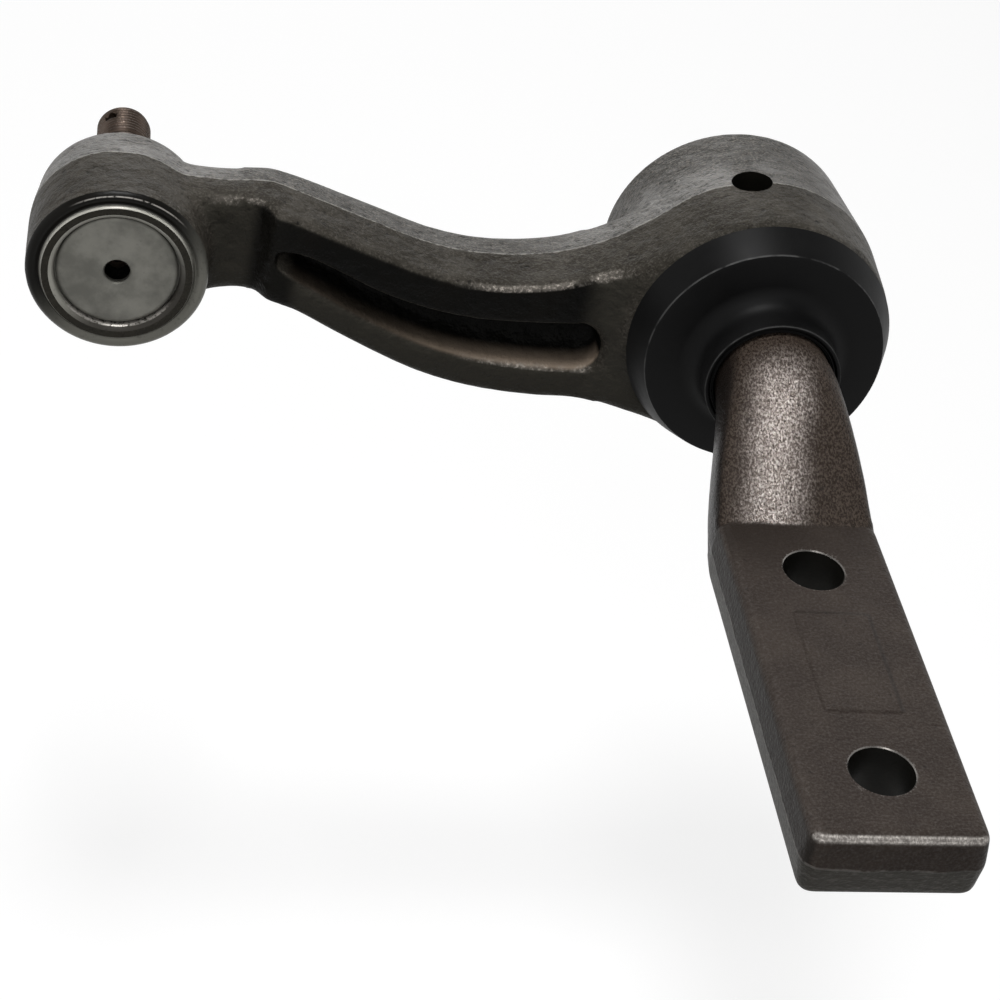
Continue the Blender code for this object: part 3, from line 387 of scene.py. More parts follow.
def bracketFinish():
    web = Web("forgedBracketSkin")
    skin = bracketSkin
    x, y, z = web.placeMm(0), web.placeMm(1), web.placeMm(2)
    up = web.span(web.facing(2), 0.50, 0.80)
    drift = (web.noise(70, 2, 0.5) - 0.5) * 5.0
    # painted highlight: a bright flecked stripe down the shank's up-facing top, where the top lamp's
    # reflection falls
    shankHighlight = web.span(web.facing(2), 0.42, 0.80) * web.span(abs(x + (92.0 - y) * 0.16 + drift), 11.5, 1.0)
    shankHighlight = shankHighlight * web.span(y, 94.0, 78.0)
    top = web.span(web.facing(2), 0.42, 0.78)
    # shot marks end at the bend
    shank = web.span(y + (web.noise(260, 2, 0.5) - 0.5) * 1.0, 49.9, 51.2) * (1 - web.span(y, 98.0, 106.0))
    pad = 1 - shank
    blotch = web.span(web.noise(60, 3, 0.6), 0.35, 0.68)
    mottle = web.noise(480, 3, 0.6)
    shot = web.noise(1.0, 3, 0.6, at=web.stretch(2200, 1250, 1700), twist=0.4)
    drawn = web.noise(1.0, 3, 0.6, at=web.stretch(420, 1200, 1200))
    spark = web.span(shot, 0.44, 0.60)
    colour = web.tint(blotch, skin["dark"], skin["brown"])
    # painted light and shade: the shank gets a dark colour on its sides and a lighter one on its up-facing
    # top
    colour = web.tint(shank, colour, skin["side"])
    colour = web.tint(shank * top, colour, web.tint(spark, skin["topDark"], skin["top"]))
    colour = web.tint(shank * shankHighlight, colour, web.tint(spark, skin["shotDark"], skin["shot"]))
    colour = web.tint(web.span(shot, 0.58, 0.70) * shank * shankHighlight * 0.6, colour, skin["fleck"])
    colour = web.tint(web.span(mottle, 0.38, 0.26) * 0.6, colour, skin["pit"])
    colour = web.tint(web.span(web.noise(1500, 3, 0.7), 0.40, 0.75) * pad * 0.055, colour, skin["fleck"])
    # painted reflection: the lower flank under the parting line is made lighter, with streaks of its sheared
    # surface
    edge = z + (web.noise(120, 2, 0.5) - 0.5) * 1.6
    low = web.span(edge, -8.2, -8.9) * pad * (1 - up)   # sheared band under the parting line
    nearBend = web.span(y, 26.0, 47.0) * pad * up * web.span(x, 12.0, -14.0, 0.35, 0.8)
    colour = web.tint(nearBend, colour, skin["bend"])
    # painted shade: the long steep flanks above the parting line are darkened
    steep = pad * (1 - web.span(web.facing(2), 0.05, 0.55)) * web.span(abs(web.facing(0)), 0.45, 0.75)
    colour = web.tint(steep * 0.85, colour, skin["steep"])
    colour = web.tint(low * 0.8, colour, skin["shearedSheen"])
    colour = web.tint(low * web.span(drawn, 0.50, 0.66) * 0.07, colour, skin["fleck"])
    line = (1 - web.span(abs(edge + 8.5), 0.15, 0.45)) * (1 - up)
    colour = web.tint(line * 0.16 * web.span(web.noise(300, 3, 0.6), 0.35, 0.6), colour, skin["fleck"])
    # painted highlight along the rounded edge over the near end, plus a little real wear on the pad's sharp
    # edges
    turned = web.span(web.facing(2), 0.20, 0.50) * (1 - web.span(web.facing(2), 0.80, 0.95))
    endGlint = turned * web.span(web.facing(1), -0.25, -0.50) * (1 - web.span(y, -46.0, -42.0))
    middle = web.span(web.facing(2), 0.50, 0.60) * web.span(web.facing(2), 0.82, 0.72)
    endGlint = endGlint * (spark * 0.5 + 0.5) * (1 - 0.35 * middle)
    endGlint = endGlint * (0.6 + 0.4 * web.span(web.noise(330, 3, 0.6), 0.36, 0.58))
    glintAndWear = endGlint + web.edges(0.51, 0.56) * spark * 0.15 * pad
    colour = web.tint(glintAndWear, colour, skin["fleck"])
    rough = web.span(shot, 0.3, 0.7, 0.26, 0.38) + pad * 0.12
    metal = shank * shankHighlight * 0.9 + glintAndWear * 0.6 - endGlint * 0.35 + 0.05
    relief = mottle * 0.6 + drawn * pad * 0.5 + line * 0.3 + web.noise(1050, 3, 0.6) * pad * 0.45
    normal = web.bump(shot * (0.12 + shank * 0.88), 0.30)
    normal = web.bump(relief, 0.38, normal)
    # faint bare panel between the holes
    panel = web.span(abs(x - 0.5), 9.6, 8.2) * web.span(abs(y - 1.4), 17.3, 15.9) * up
    normal = web.bump(panel, 0.85, normal)
    return web.finish(colour, rough, metal, normal, skin["shine"])


def turnedFinish(name, colour, rough, metal, rings=1.0, axis=(0, 0), scale=2200, shine=0.5):
    # turned metal: fine rings round an axis along Y, smudges and small dull spots
    web = Web(name)
    x, z = web.part(0) - axis[0] * mm, web.part(2) - axis[1] * mm
    radius = (x * x + z * z) ** 0.5
    ringAt = web.add("ShaderNodeCombineXYZ", None, {0: radius, 1: web.part(1), 2: 0.0})
    groove = web.noise(scale, 4, 0.7, at=ringAt)
    smudge = web.noise(110, 4, 0.6)
    speck = web.span(web.noise(1300, 3, 0.6), 0.62, 0.75)
    dark = tuple(c * 0.62 for c in colour)
    light = tuple(min(1, c * 1.2) for c in colour)
    made = web.tint(web.span(smudge, 0.32, 0.68), dark, colour)
    made = web.tint(web.span(groove, 0.4, 0.75) * 0.5 * rings, made, light)
    made = web.tint(speck * 0.35, made, tuple(c * 0.45 for c in colour))
    dull = web.span(smudge, 0.3, 0.7, rough + 0.08, rough - 0.05) + (groove - 0.5) * 0.12
    normal = web.bump(web.noise(1500, 3, 0.6), 0.02)
    normal = web.bump(groove, 0.03 * rings, normal)
    return web.finish(made, dull, metal, normal, shine)


def polymerFinish(name, colour, rough, dusty=1.0, shine=0.2):
    # moulded surface with a soft smudge and a few grains of dust
    web = Web(name)
    smudge = web.noise(70, 4, 0.6)
    fine = web.noise(2600, 2, 0.5)
    dust = web.span(web.cells(420), 0.06, 0.02)
    few = web.span(web.noise(130, 2, 0.5), 0.6, 0.72)
    dark, light = tuple(c * 0.8 for c in colour), tuple(c * 1.25 for c in colour)
    made = web.tint(web.span(smudge, 0.3, 0.7), dark, light)
    made = web.tint(dust * few * 0.5 * dusty, made, (0.22, 0.22, 0.21))
    dull = web.span(smudge, 0.3, 0.7, rough - 0.04, rough + 0.07) + (fine - 0.5) * 0.08
    normal = web.bump(web.noise(220, 3, 0.5), 0.03)
    normal = web.bump(fine, 0.02, normal)
    return web.finish(made, dull, 0.0, normal, shine)


capSkin = {"body": (0.0046, 0.0046, 0.0047), "edge": (0.085, 0.085, 0.084), "rough": 0.44, "shine": 0.085,
           "faceEdgeR": 30.95, "rimEdgeR": 17.3}


def capFinish():
    # satin polymer, with a painted highlight line round its two turned edges, broken by noise
    web = Web("capPolymer")
    skin = capSkin
    x, z = web.placeMm(0, pivot[0]), web.placeMm(2, pivot[1])
    station = web.placeMm(1, capFace)
    radius = (x * x + z * z) ** 0.5
    fine = web.noise(2600, 2, 0.5)
    smudge = web.noise(70, 4, 0.6)
    faceEdge = 1 - web.span(abs(radius - skin["faceEdgeR"]), 0.05, 0.22)
    faceEdge = faceEdge * (1 - web.span(station, 0.6, 1.2))
    rimEdge = (1 - web.span(abs(radius - skin["rimEdgeR"]), 0.04, 0.18)) * web.span(station, -10.4, -10.8)
    edgeGlintLine = (faceEdge * 0.7 + rimEdge * 0.6) * web.span(web.noise(160, 3, 0.6), 0.30, 0.55)
    dark, light = tuple(c * 0.85 for c in skin["body"]), tuple(c * 1.2 for c in skin["body"])
    made = web.tint(web.span(smudge, 0.3, 0.7), dark, light)
    made = web.tint(edgeGlintLine, made, skin["edge"])
    dull = web.span(smudge, 0.3, 0.7, skin["rough"] - 0.03, skin["rough"] + 0.05) + (fine - 0.5) * 0.06
    normal = web.bump(web.noise(220, 3, 0.5), 0.03)
    normal = web.bump(fine, 0.02, normal)
    return web.finish(made, dull, 0.0, normal, skin["shine"])


lipSkin = {
    "dark": (0.0055, 0.0050, 0.0040), "olive": (0.150, 0.147, 0.128), "crest": (0.190, 0.185, 0.163),
    "crestLit": (0.500, 0.490, 0.440), "slope": (0.050, 0.046, 0.040), "slopeLit": (0.460, 0.450, 0.400),
    "line": (0.40, 0.38, 0.35), "turn": (17.1, 17.6), "groove": (18.6, 19.0), "footR": 15.35, "browR": 21.2,
    "rough": 0.36, "shine": 0.1}


def lipFinish():
    # the rolled lip and the shoulder round it, with painted light and shade: lip slope and crest lighter on
    # the upper side, shoulder dark above and lighter olive below
    web = Web("rolledLip")
    skin = lipSkin
    x, z = web.placeMm(0, ballAxis[0]), web.placeMm(2, ballAxis[1])
    radius = (x * x + z * z) ** 0.5
    fine = web.noise(900, 3, 0.6)
    smudge = web.span(web.noise(180, 3, 0.6), 0.35, 0.65)
    lowerSideShading = web.span(x * 0.6 - z, -9.0, 14.0)
    crest = web.span(radius, *skin["turn"])
    outside = web.span(radius, *skin["groove"])
    colour = web.tint(lowerSideShading, skin["slopeLit"], skin["slope"])
    # painted shade in the crease where the lip's foot meets the cover
    colour = web.tint((1 - web.span(radius, 15.3, 16.0)) * 0.45, colour, skin["slope"])
    colour = web.tint(crest * (0.4 + smudge * 0.6), colour, web.tint(lowerSideShading, skin["crestLit"], skin["crest"]))
    colour = web.tint(outside, colour, web.tint(lowerSideShading, skin["dark"], skin["olive"]))
    colour = web.tint(web.span(fine, 0.56, 0.70) * 0.25, colour, skin["dark"])
    # painted highlights: two thin bright lines, at the lip's foot below and on the shoulder above
    footHighlight = (1 - web.span(abs(radius - skin["footR"]), 0.12, 0.40)) * web.span(z, -7.0, -12.0)
    browHighlight = (1 - web.span(abs(radius - skin["browR"]), 0.05, 0.22)) * web.span(z + x * 0.15, 15.5, 20.0) * 0.8
    line = (footHighlight + browHighlight) * web.span(fine, 0.36, 0.52)
    colour = web.tint(line, colour, skin["line"])
    metal = (1 - outside) * (0.15 + crest * lowerSideShading * 0.40) + outside * lowerSideShading * 0.5 + line * 0.4
    normal = web.bump(fine, 0.05)
    return web.finish(colour, skin["rough"], metal, normal, skin["shine"])


finishes = {
    "arm": forgedArmFinish(),
    "bracket": bracketFinish(),
    "machined": turnedFinish("machinedForging", (0.14, 0.137, 0.125), 0.38, 0.75, axis=pivot),
    "lip": lipFinish(),
    "cover": turnedFinish("coverPlate", (0.200, 0.196, 0.172), 0.48, 0.6, 0.15, ballAxis, 1500),
    "stud": turnedFinish("studSteel", (0.080, 0.056, 0.042), 0.26, 0.7, axis=ballAxis),
    "cap": capFinish(),
    "wiper": polymerFinish("wiperRubber", (0.0028, 0.0028, 0.0028), 0.6, shine=0.1),
    "bearing": polymerFinish("bearingPolymer", (0.42, 0.38, 0.27), 0.5, 0.2, shine=0.5),
    "hard": turnedFinish("hardSteel", (0.36, 0.35, 0.33), 0.3, 1.0, axis=pivot),
    "ballParts": turnedFinish("ballJointSteel", (0.33, 0.32, 0.30), 0.32, 1.0, axis=ballAxis),
    "spring": turnedFinish("springSteel", (0.20, 0.20, 0.20), 0.4, 0.9, rings=0.3, axis=pivot),
    "plug": turnedFinish("endPlug", (0.14, 0.14, 0.128), 0.42, 0.8, rings=0.5, axis=pivot),
    "rim": turnedFinish("holeRim", (0.24, 0.225, 0.21), 0.26, 0.85),
    "drilled": turnedFinish("drilledHole", (0.010, 0.0092, 0.0070), 0.40, 0.15, 1.0, pivot, 1500, 0.12),
}
print("finishes made:", len(finishes))


def handOver(obj, body, nodes, slot, *materials):
    for material in materials:
        if material.name not in [m.name for m in obj.data.materials if m]:
            obj.data.materials.append(material)
    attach(obj, body)
    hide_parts(*nodes)


def paintTool(tool, material):
    tool.data.materials.clear()
    tool.data.materials.append(material)


armForge = {
    "grain": 0.75, "relax": 10, "neckRelax": 30, "barrelR": (34.8, 36.0, 33.9), "front": 8.7, "rear": 60.0,
    "shoulder": 40.8, "ledge": 57.4, "boreR": 22.0, "counterR": 26.5, "plugR": 29.3, "plugChamfer": 59.3,
    "housingBlank": [(0, 7.0), (21.4, 7.0), (22.3, 8.0), (22.4, parting), (20.6, 41.5), (19.1, 43.0),
                     (0, 43.0)],
    "housingNeck": (21.0, 34.0, 9.5), "barrelNeck": (34.5, 46, 18),
    "frontFace": [(0, 4), (34.9, 4), (34.9, 8.9), (34.6, 9.1), (34.2, 8.75), (22.7, 8.75), (22.0, 9.4)],
    "rearFace": [(30.0, 59.96), (36, 59.96), (36, 64), (0, 64)],
    "groove": [(0, 3), (25, 3), (25, 10.8), (22.75, 10.8), (22.35, 9.3), (21.9, 8.4), (21.35, 7.8),
               (20.8, 7.5), (20.3, 7.55), (19.7, 8.0), (19.2, 8.2), (18.85, 8.05)],
    "lipCrest": (17.65, 7.8, 1.05, 0, -80, 6),
    "lipSlope": [(17.2, 6.8), (16.6, 7.0), (16.0, 7.35), (15.5, 7.8), (15.3, 8.3), (15.2, 9.3)],
    "socketR": 17.3, "socketFront": 9.3, "mouthR": 12.9, "mouthCut": [(15.5, 45.0), (0, 45.0)],
    "crownR": 5.3, "crownLean": 11.0, "crownBehind": 1.1, "crownOut": 30, "crownDepth": 26}


def makeArmForging():
    a = armForge
    arm = copyNode("arm_forging", "armForging")
    frontR, midR, rearR = a["barrelR"]
    # solid bar stock over the bores, so that they are cut cleanly after the surface is relaxed
    stock = [(0, a["front"]), (frontR - 1, a["front"]), (frontR, a["front"] + 1), (midR, parting)]
    stock += arc(rearR - 2, a["rear"] - 2, 2, 0, 90, 4) + [(0, a["rear"])]
    barrel = spinPiece("barrelBlank", pivot, stock, 144)
    housing = spinPiece("housingBlank", ballAxis, a["housingBlank"], 96)
    joinInto(arm, barrel, housing)
    applyModifier(arm, "REMESH", mode="VOXEL", voxel_size=a["grain"] * mm, use_smooth_shade=True)
    print("arm remeshed:", len(arm.data.polygons))
    smoothPlace(arm, lambda co: True, a["relax"])

    def atNeck(co):
        along, height, station = armPlace(co)
        near, far, lowest = a["housingNeck"]
        byHousing = near < math.hypot(along - armLength, height) < far and station > lowest
        near, far, least = a["barrelNeck"]
        byBarrel = near < math.hypot(along, height) < far and along > least
        return byHousing or byBarrel
    smoothPlace(arm, atNeck, a["neckRelax"])
    paintTool(arm, finishes["arm"])

    # machined places
    bore = a["frontFace"] + [(a["boreR"], a["shoulder"]), (a["counterR"], a["shoulder"])]
    bore += [(a["counterR"], a["ledge"]), (a["plugR"], a["ledge"]), (a["plugR"], a["plugChamfer"])]
    tool = spinPiece("barrelTool", pivot, bore + a["rearFace"], 128)
    paintTool(tool, finishes["machined"])
    cutWith(arm, tool)
    turn = armTilt - math.radians(a["crownLean"])
    out = a["crownOut"]
    centre = (pivot[0] + out * math.sin(turn), capFace + parting + a["crownBehind"],
              pivot[1] + out * math.cos(turn))
    tool = rod("crownTool", a["crownR"], a["crownDepth"], centre, (0, turn, 0), 64)
    paintTool(tool, finishes["drilled"])
    cutWith(arm, tool)
    socket = a["socketR"]
    lowest = math.degrees(math.acos(a["mouthR"] / socket))
    face = a["groove"] + arc(*a["lipCrest"]) + a["lipSlope"]
    face += [(socket, a["socketFront"]), (socket, ballStation)]
    face += arc(0, ballStation, socket, 0, lowest, 8)[1:] + a["mouthCut"]
    tool = spinPiece("housingTool", ballAxis, face, 128)
    paintTool(tool, finishes["lip"])
    cutWith(arm, tool)
    smoothShade(arm, 40)
    handOver(arm, "arm", ["arm_forging"], "forged_arm")
    print("arm forging made:", len(arm.data.polygons), [m.name for m in arm.data.materials])


makeArmForging()


bracketForge = {
    "grain": 0.75, "relax": 2, "holeR": 7.3, "holes": (-33.6, 33.6), "thickness": 17.0, "fillOver": 0.6,
    "journalBlank": [(0, -11.2), (14.8, -11.2), (14.8, 5.1), (13.0, 5.1), (13.0, 40), (0, 40)],
    "shank": (0.054, 0.0955), "shankRelax": 18, "rimOut": 0.7, "rimIn": 0.2, "rimDepth": 0.9}


def makeBracket():
    b = bracketForge
    bracket = copyNode("frame_bracket", "bracketForging")
    middle = -b["thickness"] / 2
    fillR = b["holeR"] + b["fillOver"]
    fills = [rod("holeFill", fillR, b["thickness"], (0, y, middle), (0, 0, 0)) for y in b["holes"]]
    journal = spinPiece("journalBlank", pivot, b["journalBlank"], 96)
    joinInto(bracket, journal, *fills)
    applyModifier(bracket, "REMESH", mode="VOXEL", voxel_size=b["grain"] * mm, use_smooth_shade=True)
    smoothPlace(bracket, lambda co: True, b["relax"])
    start, end = b["shank"]
    smoothPlace(bracket, lambda co: start < co[1] < end, b["shankRelax"])
    paintTool(bracket, finishes["bracket"])
    for y in b["holes"]:
        tool = rod("holeTool", b["holeR"], 3 * b["thickness"], (0, y, middle), (0, 0, 0), 72)
        paintTool(tool, finishes["drilled"])
        cutWith(bracket, tool)
        # a small chamfer round the hole's upper edge
        startFresh()
        bpy.ops.mesh.primitive_cone_add(vertices=72, radius1=b["holeR"] * mm - b["rimIn"] * mm,
                                        radius2=(b["holeR"] + b["rimOut"]) * mm, depth=b["rimDepth"] * mm,
                                        location=(0, y * mm, 0))
        tool = nameIt(bpy.context.object, "chamferTool")
        bpy.ops.object.transform_apply(location=True, rotation=True, scale=True)
        paintTool(tool, finishes["rim"])
        cutWith(bracket, tool)
    smoothShade(bracket, 40)
    handOver(bracket, "bracket", ["frame_bracket"], "forged_bracket")
    print("bracket made:", len(bracket.data.polygons))


makeBracket()


dustCap = {
    "depth": 8.4, "faceR": 31.0, "rimR": 34.5, "collarR": 17.4, "rise": 11.0, "fillet": 5.0, "holeR": 15.4,
    "wall": 2.8, "pocketR": 16.4, "wiperSeat": -6.7, "ledgeR": 28.5, "collarEdge": 0.25, "steps": 144,
    "faceEdge": [(0.25, 0.85), (-0.1, 0.25), (-0.9, 0.0)]}


def makeDustCap():
    d = dustCap
    pocketR, holeR, ledgeR, rise = d["pocketR"], d["holeR"], d["ledgeR"], d["rise"]
    shape = [(d["rimR"], d["depth"])] + [(d["faceR"] + out, deep) for out, deep in d["faceEdge"]]
    shape += arc(d["collarR"] + d["fillet"], -d["fillet"], d["fillet"], 90, 180, 10)
    collar = [(d["collarR"], -6.0), (d["collarR"], -rise), (pocketR, -rise), (pocketR, -8.0)]
    shape += rounded(collar, d["collarEdge"], 2)
    shape += [(pocketR, d["wiperSeat"]), (holeR, d["wiperSeat"]), (holeR, d["wall"])]
    shape += [(ledgeR, d["wall"]), (ledgeR, d["depth"])]
    cap = spinPiece("dustCap", pivot, shape, d["steps"], closed=True)
    smoothShade(cap, 32)
    handOver(cap, "arm", ["barrel_dust_cap"], "black_polymer", finishes["cap"])


wiper = {"outer": 16.1, "inner": 15.0, "front": -10.6, "rear": -7.0, "groove": (15.7, 15.5), "steps": 128}


def makeWiper():
    w = wiper
    outer, inner, front, rear = w["outer"], w["inner"], w["front"], w["rear"]
    shape = [(outer, rear), (outer, front + 0.2), (outer - 0.2, front), (w["groove"][0], front),
             (w["groove"][1], front + 0.5), (inner + 0.25, front + 0.35), (inner, front + 0.7),
             (inner, front + 1.4), (inner + 0.7, rear)]
    ring = spinPiece("wiperRing", pivot, shape, w["steps"], closed=True)
    smoothShade(ring, 35)
    handOver(ring, "arm", ["shaft_wiper_ring"], "black_rubber", finishes["wiper"])


makeDustCap()
makeWiper()
print("dust cap and wiper made")


coverPlate = {
    "face": 8.1, "rimR": 17.0, "step": 9.6, "thickness": 1.7, "holeR": 3.2, "wallR": 14.95, "insideR": 13.3,
    "holeEdge": [(0, 0.35), (0.3, 0.03)], "steps": 128,
    "faceRun": [(8.0, 0.02), (13.6, 0.1), (14.4, 0.3), (14.85, 0.75)]}


def makeCover():
    c = coverPlate
    face, step, thickness = c["face"], c["step"], c["thickness"]
    shape = [(c["holeR"], face + thickness)]
    shape += [(c["holeR"] + out, face + deep) for out, deep in c["holeEdge"]]
    shape += [(r, face + deep) for r, deep in c["faceRun"]]
    shape += [(c["wallR"], step), (c["rimR"], step), (c["rimR"], step + thickness)]
    shape += [(c["insideR"], step + thickness), (c["insideR"], face + thickness)]
    cover = spinPiece("ballCover", ballAxis, shape, c["steps"], closed=True)
    smoothShade(cover, 35)
    handOver(cover, "arm", ["ball_cover_plate"], "cover_steel", finishes["cover"])


endPlug = {
    "radius": 29.0, "seat": 57.7, "thickness": 1.5, "dome": 1.2, "flatFrom": (27.2, 28.6), "steps": 128}


def makeEndPlug():
    p = endPlug
    rise = [(p["radius"] * f, p["dome"] * (1 - f * f)) for f in (0, 0.2, 0.4, 0.6, 0.75, 0.88)]
    outer = p["seat"] + p["thickness"]
    near, flat = p["flatFrom"]
    shape = [(r, outer + h) for r, h in rise] + [(near, outer + 0.1), (flat, outer)]
    shape += [(p["radius"], outer - 0.3), (p["radius"], p["seat"])]
    shape += [(r, p["seat"] + h) for r, h in rise[::-1]]
    plug = spinPiece("rearPlug", pivot, shape, p["steps"])
    smoothShade(plug, 35)
    handOver(plug, "arm", ["barrel_end_plug"], "cover_steel", finishes["plug"])


makeCover()
makeEndPlug()
print("cover and plug made")


ballStud = {
    "head": 12.0, "shankR": 8.6, "smallR": 7.35, "neckR": 6.8, "rootR": 6.35, "crestR": 7.12,
    "taperStart": 17.0, "taperEnd": 37.0, "threadStart": 38.7, "tip": 52.7,
    "tipEdge": [(0, 0), (5.2, 0), (5.6, 0.15)], "pitch": 1.41, "turns": 9.4, "stepsPerTurn": 48,
    "sleeveR": (6.3, 7.13, 6.1), "holeR": 1.9, "holeFromTip": 4.6, "holeLean": -35.0}


def makeThread():
    # one wedge of thread, run up the stud by a screw
    s = ballStud
    root, crest = s["rootR"], s["crestR"]
    y0 = capFace + ballStation + s["threadStart"] + 0.1
    startFresh()
    bpy.ops.mesh.primitive_plane_add(size=0.001, location=(ballAxis[0] * mm, y0 * mm, ballAxis[1] * mm))
    thread = nameIt(bpy.context.object, "studThread")
    bpy.ops.object.mode_set(mode="EDIT")
    bpy.ops.mesh.merge(type="CENTER")
    wedge = [(root - 0.25, 0), (root - 0.02, 0), (crest - 0.06, 0.5), (crest, 0.6), (crest, 0.72),
             (crest - 0.06, 0.82), (root - 0.02, 1.32), (root - 0.25, 1.32)]
    bpy.ops.transform.translate(value=(wedge[0][0] * mm, wedge[0][1] * mm, 0))
    for (r0, a0), (r1, a1) in zip(wedge, wedge[1:]):
        shift = ((r1 - r0) * mm, (a1 - a0) * mm, 0)
        bpy.ops.mesh.extrude_region_move(TRANSFORM_OT_translate={"value": shift})
    bpy.ops.mesh.select_all(action="SELECT")
    bpy.ops.mesh.edge_face_add()
    bpy.ops.object.mode_set(mode="OBJECT")
    steps = int(s["stepsPerTurn"] * s["turns"])
    applyModifier(thread, "SCREW", axis="Y", steps=steps, render_steps=steps, angle=2 * math.pi * s["turns"],
                  screw_offset=s["pitch"] * mm * s["turns"], iterations=1, use_merge_vertices=False)
    bpy.ops.object.transform_apply(location=True, rotation=True, scale=True)
    bpy.ops.object.mode_set(mode="EDIT")
    bpy.ops.mesh.select_mode(type="EDGE")
    bpy.ops.mesh.select_all(action="DESELECT")
    bpy.ops.mesh.select_non_manifold(extend=False, use_wire=False, use_multi_face=False,
                                     use_non_contiguous=False, use_verts=False)
    bpy.ops.mesh.fill_holes(sides=0)
    bpy.ops.object.mode_set(mode="OBJECT")
    cleanMesh(thread)
    # both ends of the thread run out, the tip at a chamfer
    tip = ballStation + s["tip"]
    start = ballStation + s["threadStart"]
    low, full, end = s["sleeveR"]
    sleeve = [(0, start - 1), (low, start - 1), (low, start + 0.1), (full, start + 1.0), (full, tip - 1.25),
              (end, tip - 0.25), (0, tip - 0.25)]
    cutWith(thread, spinPiece("threadSleeve", ballAxis, sleeve, 96), "INTERSECT")
    return thread


def makeStud():
    s = ballStud
    root, taperEnd = s["rootR"], s["taperEnd"]
    shape = [(r, s["tip"] - back) for r, back in s["tipEdge"]]
    shape += [(root, s["tip"] - 0.9), (root, taperEnd + 0.4), (s["neckR"], taperEnd)]
    shape += [(s["smallR"] - 0.1, taperEnd), (s["smallR"], taperEnd - 0.3)]
    shape += [(s["shankR"], s["taperStart"]), (s["shankR"], 0)]
    shape += arc(0, 0, s["head"], 0, -90, 14)
    stud = spinPiece("ballStudBody", ballAxis, shape, 96, start=ballStation)
    thread = makeThread()
    hole = (ballAxis[0], capFace + (ballStation + s["tip"]) - s["holeFromTip"], ballAxis[1])
    turn = armTilt + math.radians(s["holeLean"])
    for obj in (stud, thread):
        tool = rod("studHoleTool", s["holeR"], 40, hole, (0, turn, 0), 40)
        paintTool(obj, finishes["stud"])
        paintTool(tool, finishes["stud"])
        cutWith(obj, tool)
    joinInto(stud, thread)
    smoothShade(stud, 32)
    handOver(stud, "stud", ["ball_stud"], "stud_steel")
    print("stud made:", len(stud.data.polygons))


makeStud()


innerFinish = {
    "front_bushing": "bearing", "rear_bushing": "bearing", "thrust_washer": "hard",
    "preload_disc_spring": "spring", "spindle_lock_nut": "hard", "spindle_cotter_pin": "spring",
    "ball_socket_seat": "ballParts", "pressure_cup": "ballParts", "half_ball_bearing": "ballParts",
    "ball_preload_spring": "spring"}
for node, finish in innerFinish.items():
    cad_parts[node].data.materials.clear()
    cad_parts[node].data.materials.append(finishes[finish])
print("inner pieces painted:", len(innerFinish))


studio = {
    "floorAt": -215, "floorSize": 12.0, "floorColour": (0.26, 0.26, 0.26), "floorGlow": 0.80, "fill": 0.34,
    "overhead": 0.16, "dimFrom": (0.42, 0.74), "aimAt": (-0.03, 0.08, 0.0),
    "top": {"at": (-0.18, 0.06, 0.92), "size": 0.26, "power": 7.0},
    "back": {"at": (-0.05, 1.3, 0.50), "size": 0.8, "power": 3.0},
    "front": {"at": (-0.25, -0.95, 1.05), "size": 0.6, "power": 4.0}}
cameraView = {
    "lens": 82.8, "sensor": 36, "at": (-0.1596, -0.3725, 0.3202), "right": (0.9860, -0.1057, 0.1288),
    "up": (-0.0394, 0.6034, 0.7965), "ahead": (0.1620, 0.7904, -0.5907)}


def seenRays(nodes, links):
    # the sum of the rays that show the background: straight, in gloss and through glass
    path = nodes.new("ShaderNodeLightPath")
    total = path.outputs["Is Camera Ray"]
    for ray in ("Is Glossy Ray", "Is Transmission Ray"):
        add = nodes.new("ShaderNodeMath")
        links.new(total, add.inputs[0])
        links.new(path.outputs[ray], add.inputs[1])
        total = add.outputs[0]
    return total


def makeFloor():
    s = studio
    startFresh()
    bpy.ops.mesh.primitive_plane_add(size=s["floorSize"], location=(0, 0, s["floorAt"] * mm))
    floor = nameIt(bpy.context.object, "studioFloor")
    bpy.ops.object.transform_apply(location=True, rotation=True, scale=True)
    made = bpy.data.materials.new("studioFloor")
    made.use_nodes = True
    nodes, links = made.node_tree.nodes, made.node_tree.links
    shader = nodes["Principled BSDF"]
    shader.inputs["Base Color"].default_value = (*s["floorColour"], 1)
    shader.inputs["Roughness"].default_value = 0.9
    shader.inputs["Specular IOR Level"].default_value = 0.0
    shader.inputs["Emission Color"].default_value = (1, 1, 1, 1)
    glow = nodes.new("ShaderNodeMath")
    glow.operation = "MULTIPLY"
    links.new(seenRays(nodes, links), glow.inputs[0])
    glow.inputs[1].default_value = s["floorGlow"]
    links.new(glow.outputs[0], shader.inputs["Emission Strength"])
    floor.data.materials.append(made)


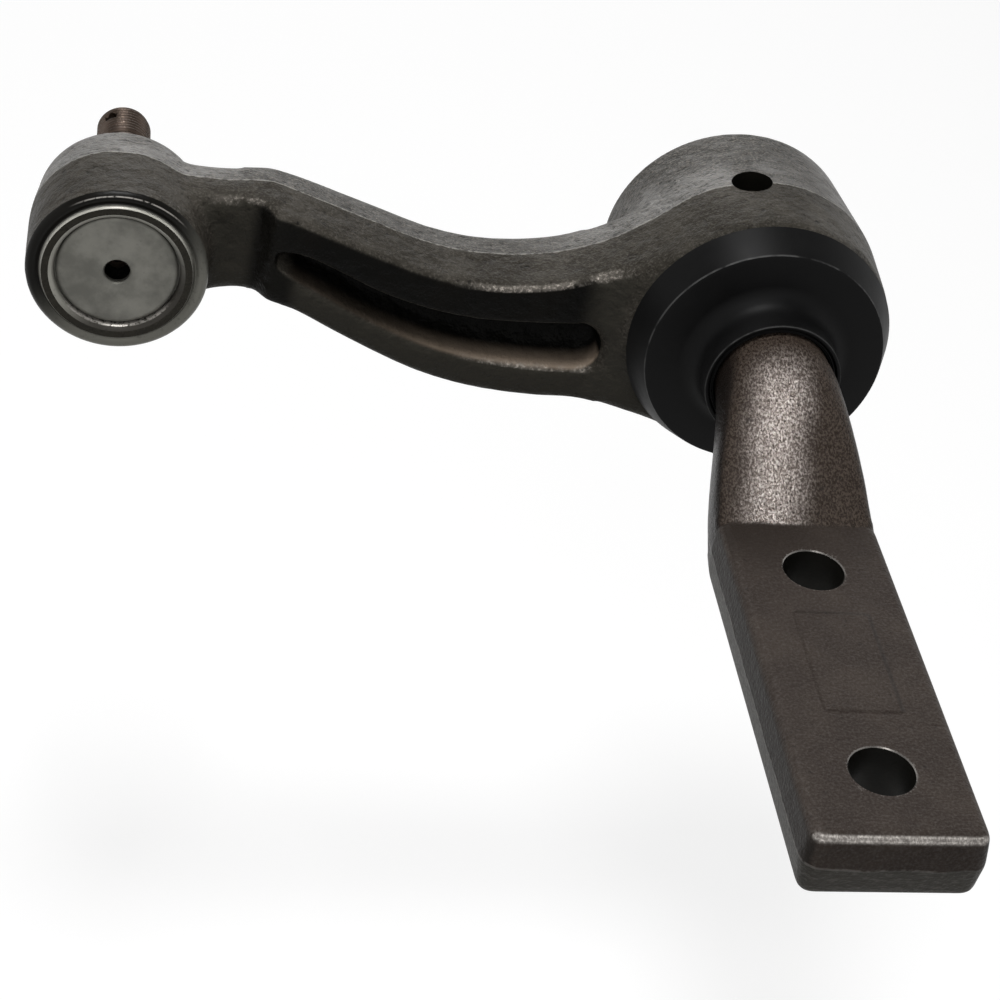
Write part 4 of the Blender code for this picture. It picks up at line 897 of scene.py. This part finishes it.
def makeWorld():
    s = studio
    world = bpy.data.worlds.new("studio")
    bpy.context.scene.world = world
    world.use_nodes = True
    nodes, links = world.node_tree.nodes, world.node_tree.links
    back = nodes["Background"]
    back.inputs["Color"].default_value = (1, 1, 1, 1)
    level = nodes.new("ShaderNodeMapRange")
    links.new(seenRays(nodes, links), level.inputs["Value"])
    level.inputs["To Min"].default_value = s["fill"]
    level.inputs["To Max"].default_value = 1.0
    # white all round up to well above the horizon, dimmer straight overhead where the lamps hang
    coordinates = nodes.new("ShaderNodeTexCoord")
    split = nodes.new("ShaderNodeSeparateXYZ")
    links.new(coordinates.outputs["Generated"], split.inputs[0])
    height = nodes.new("ShaderNodeMapRange")
    height.interpolation_type = "SMOOTHSTEP"
    links.new(split.outputs["Z"], height.inputs["Value"])
    height.inputs["From Min"].default_value, height.inputs["From Max"].default_value = s["dimFrom"]
    height.inputs["To Min"].default_value = 1.0
    height.inputs["To Max"].default_value = s["overhead"]
    product = nodes.new("ShaderNodeMath")
    product.operation = "MULTIPLY"
    links.new(level.outputs[0], product.inputs[0])
    links.new(height.outputs[0], product.inputs[1])
    links.new(product.outputs[0], back.inputs["Strength"])


def makeLamp(name, settings):
    lamp = bpy.data.lights.new(name, "AREA")
    lamp.shape = "DISK"
    lamp.size = settings["size"]
    lamp.energy = settings["power"]
    obj = bpy.data.objects.new(name, lamp)
    obj.location = settings["at"]
    aim = Vector(studio["aimAt"]) - Vector(settings["at"])
    obj.rotation_euler = aim.to_track_quat("-Z", "Y").to_euler()
    bpy.context.scene.collection.objects.link(obj)


def makeCamera():
    view = cameraView
    data = bpy.data.cameras.new("camera")
    data.lens = view["lens"]
    data.sensor_width = view["sensor"]
    camera = bpy.data.objects.new("camera", data)
    bpy.context.scene.collection.objects.link(camera)
    turn = Matrix((Vector(view["right"]), Vector(view["up"]), -Vector(view["ahead"]))).transposed()
    camera.matrix_world = Matrix.Translation(view["at"]) @ turn.to_4x4()
    bpy.context.scene.camera = camera


makeFloor()
makeWorld()
makeLamp("topLamp", studio["top"])
makeLamp("backLamp", studio["back"])
makeLamp("frontLamp", studio["front"])
makeCamera()
bpy.context.scene.view_settings.view_transform = "Standard"
print("studio made")
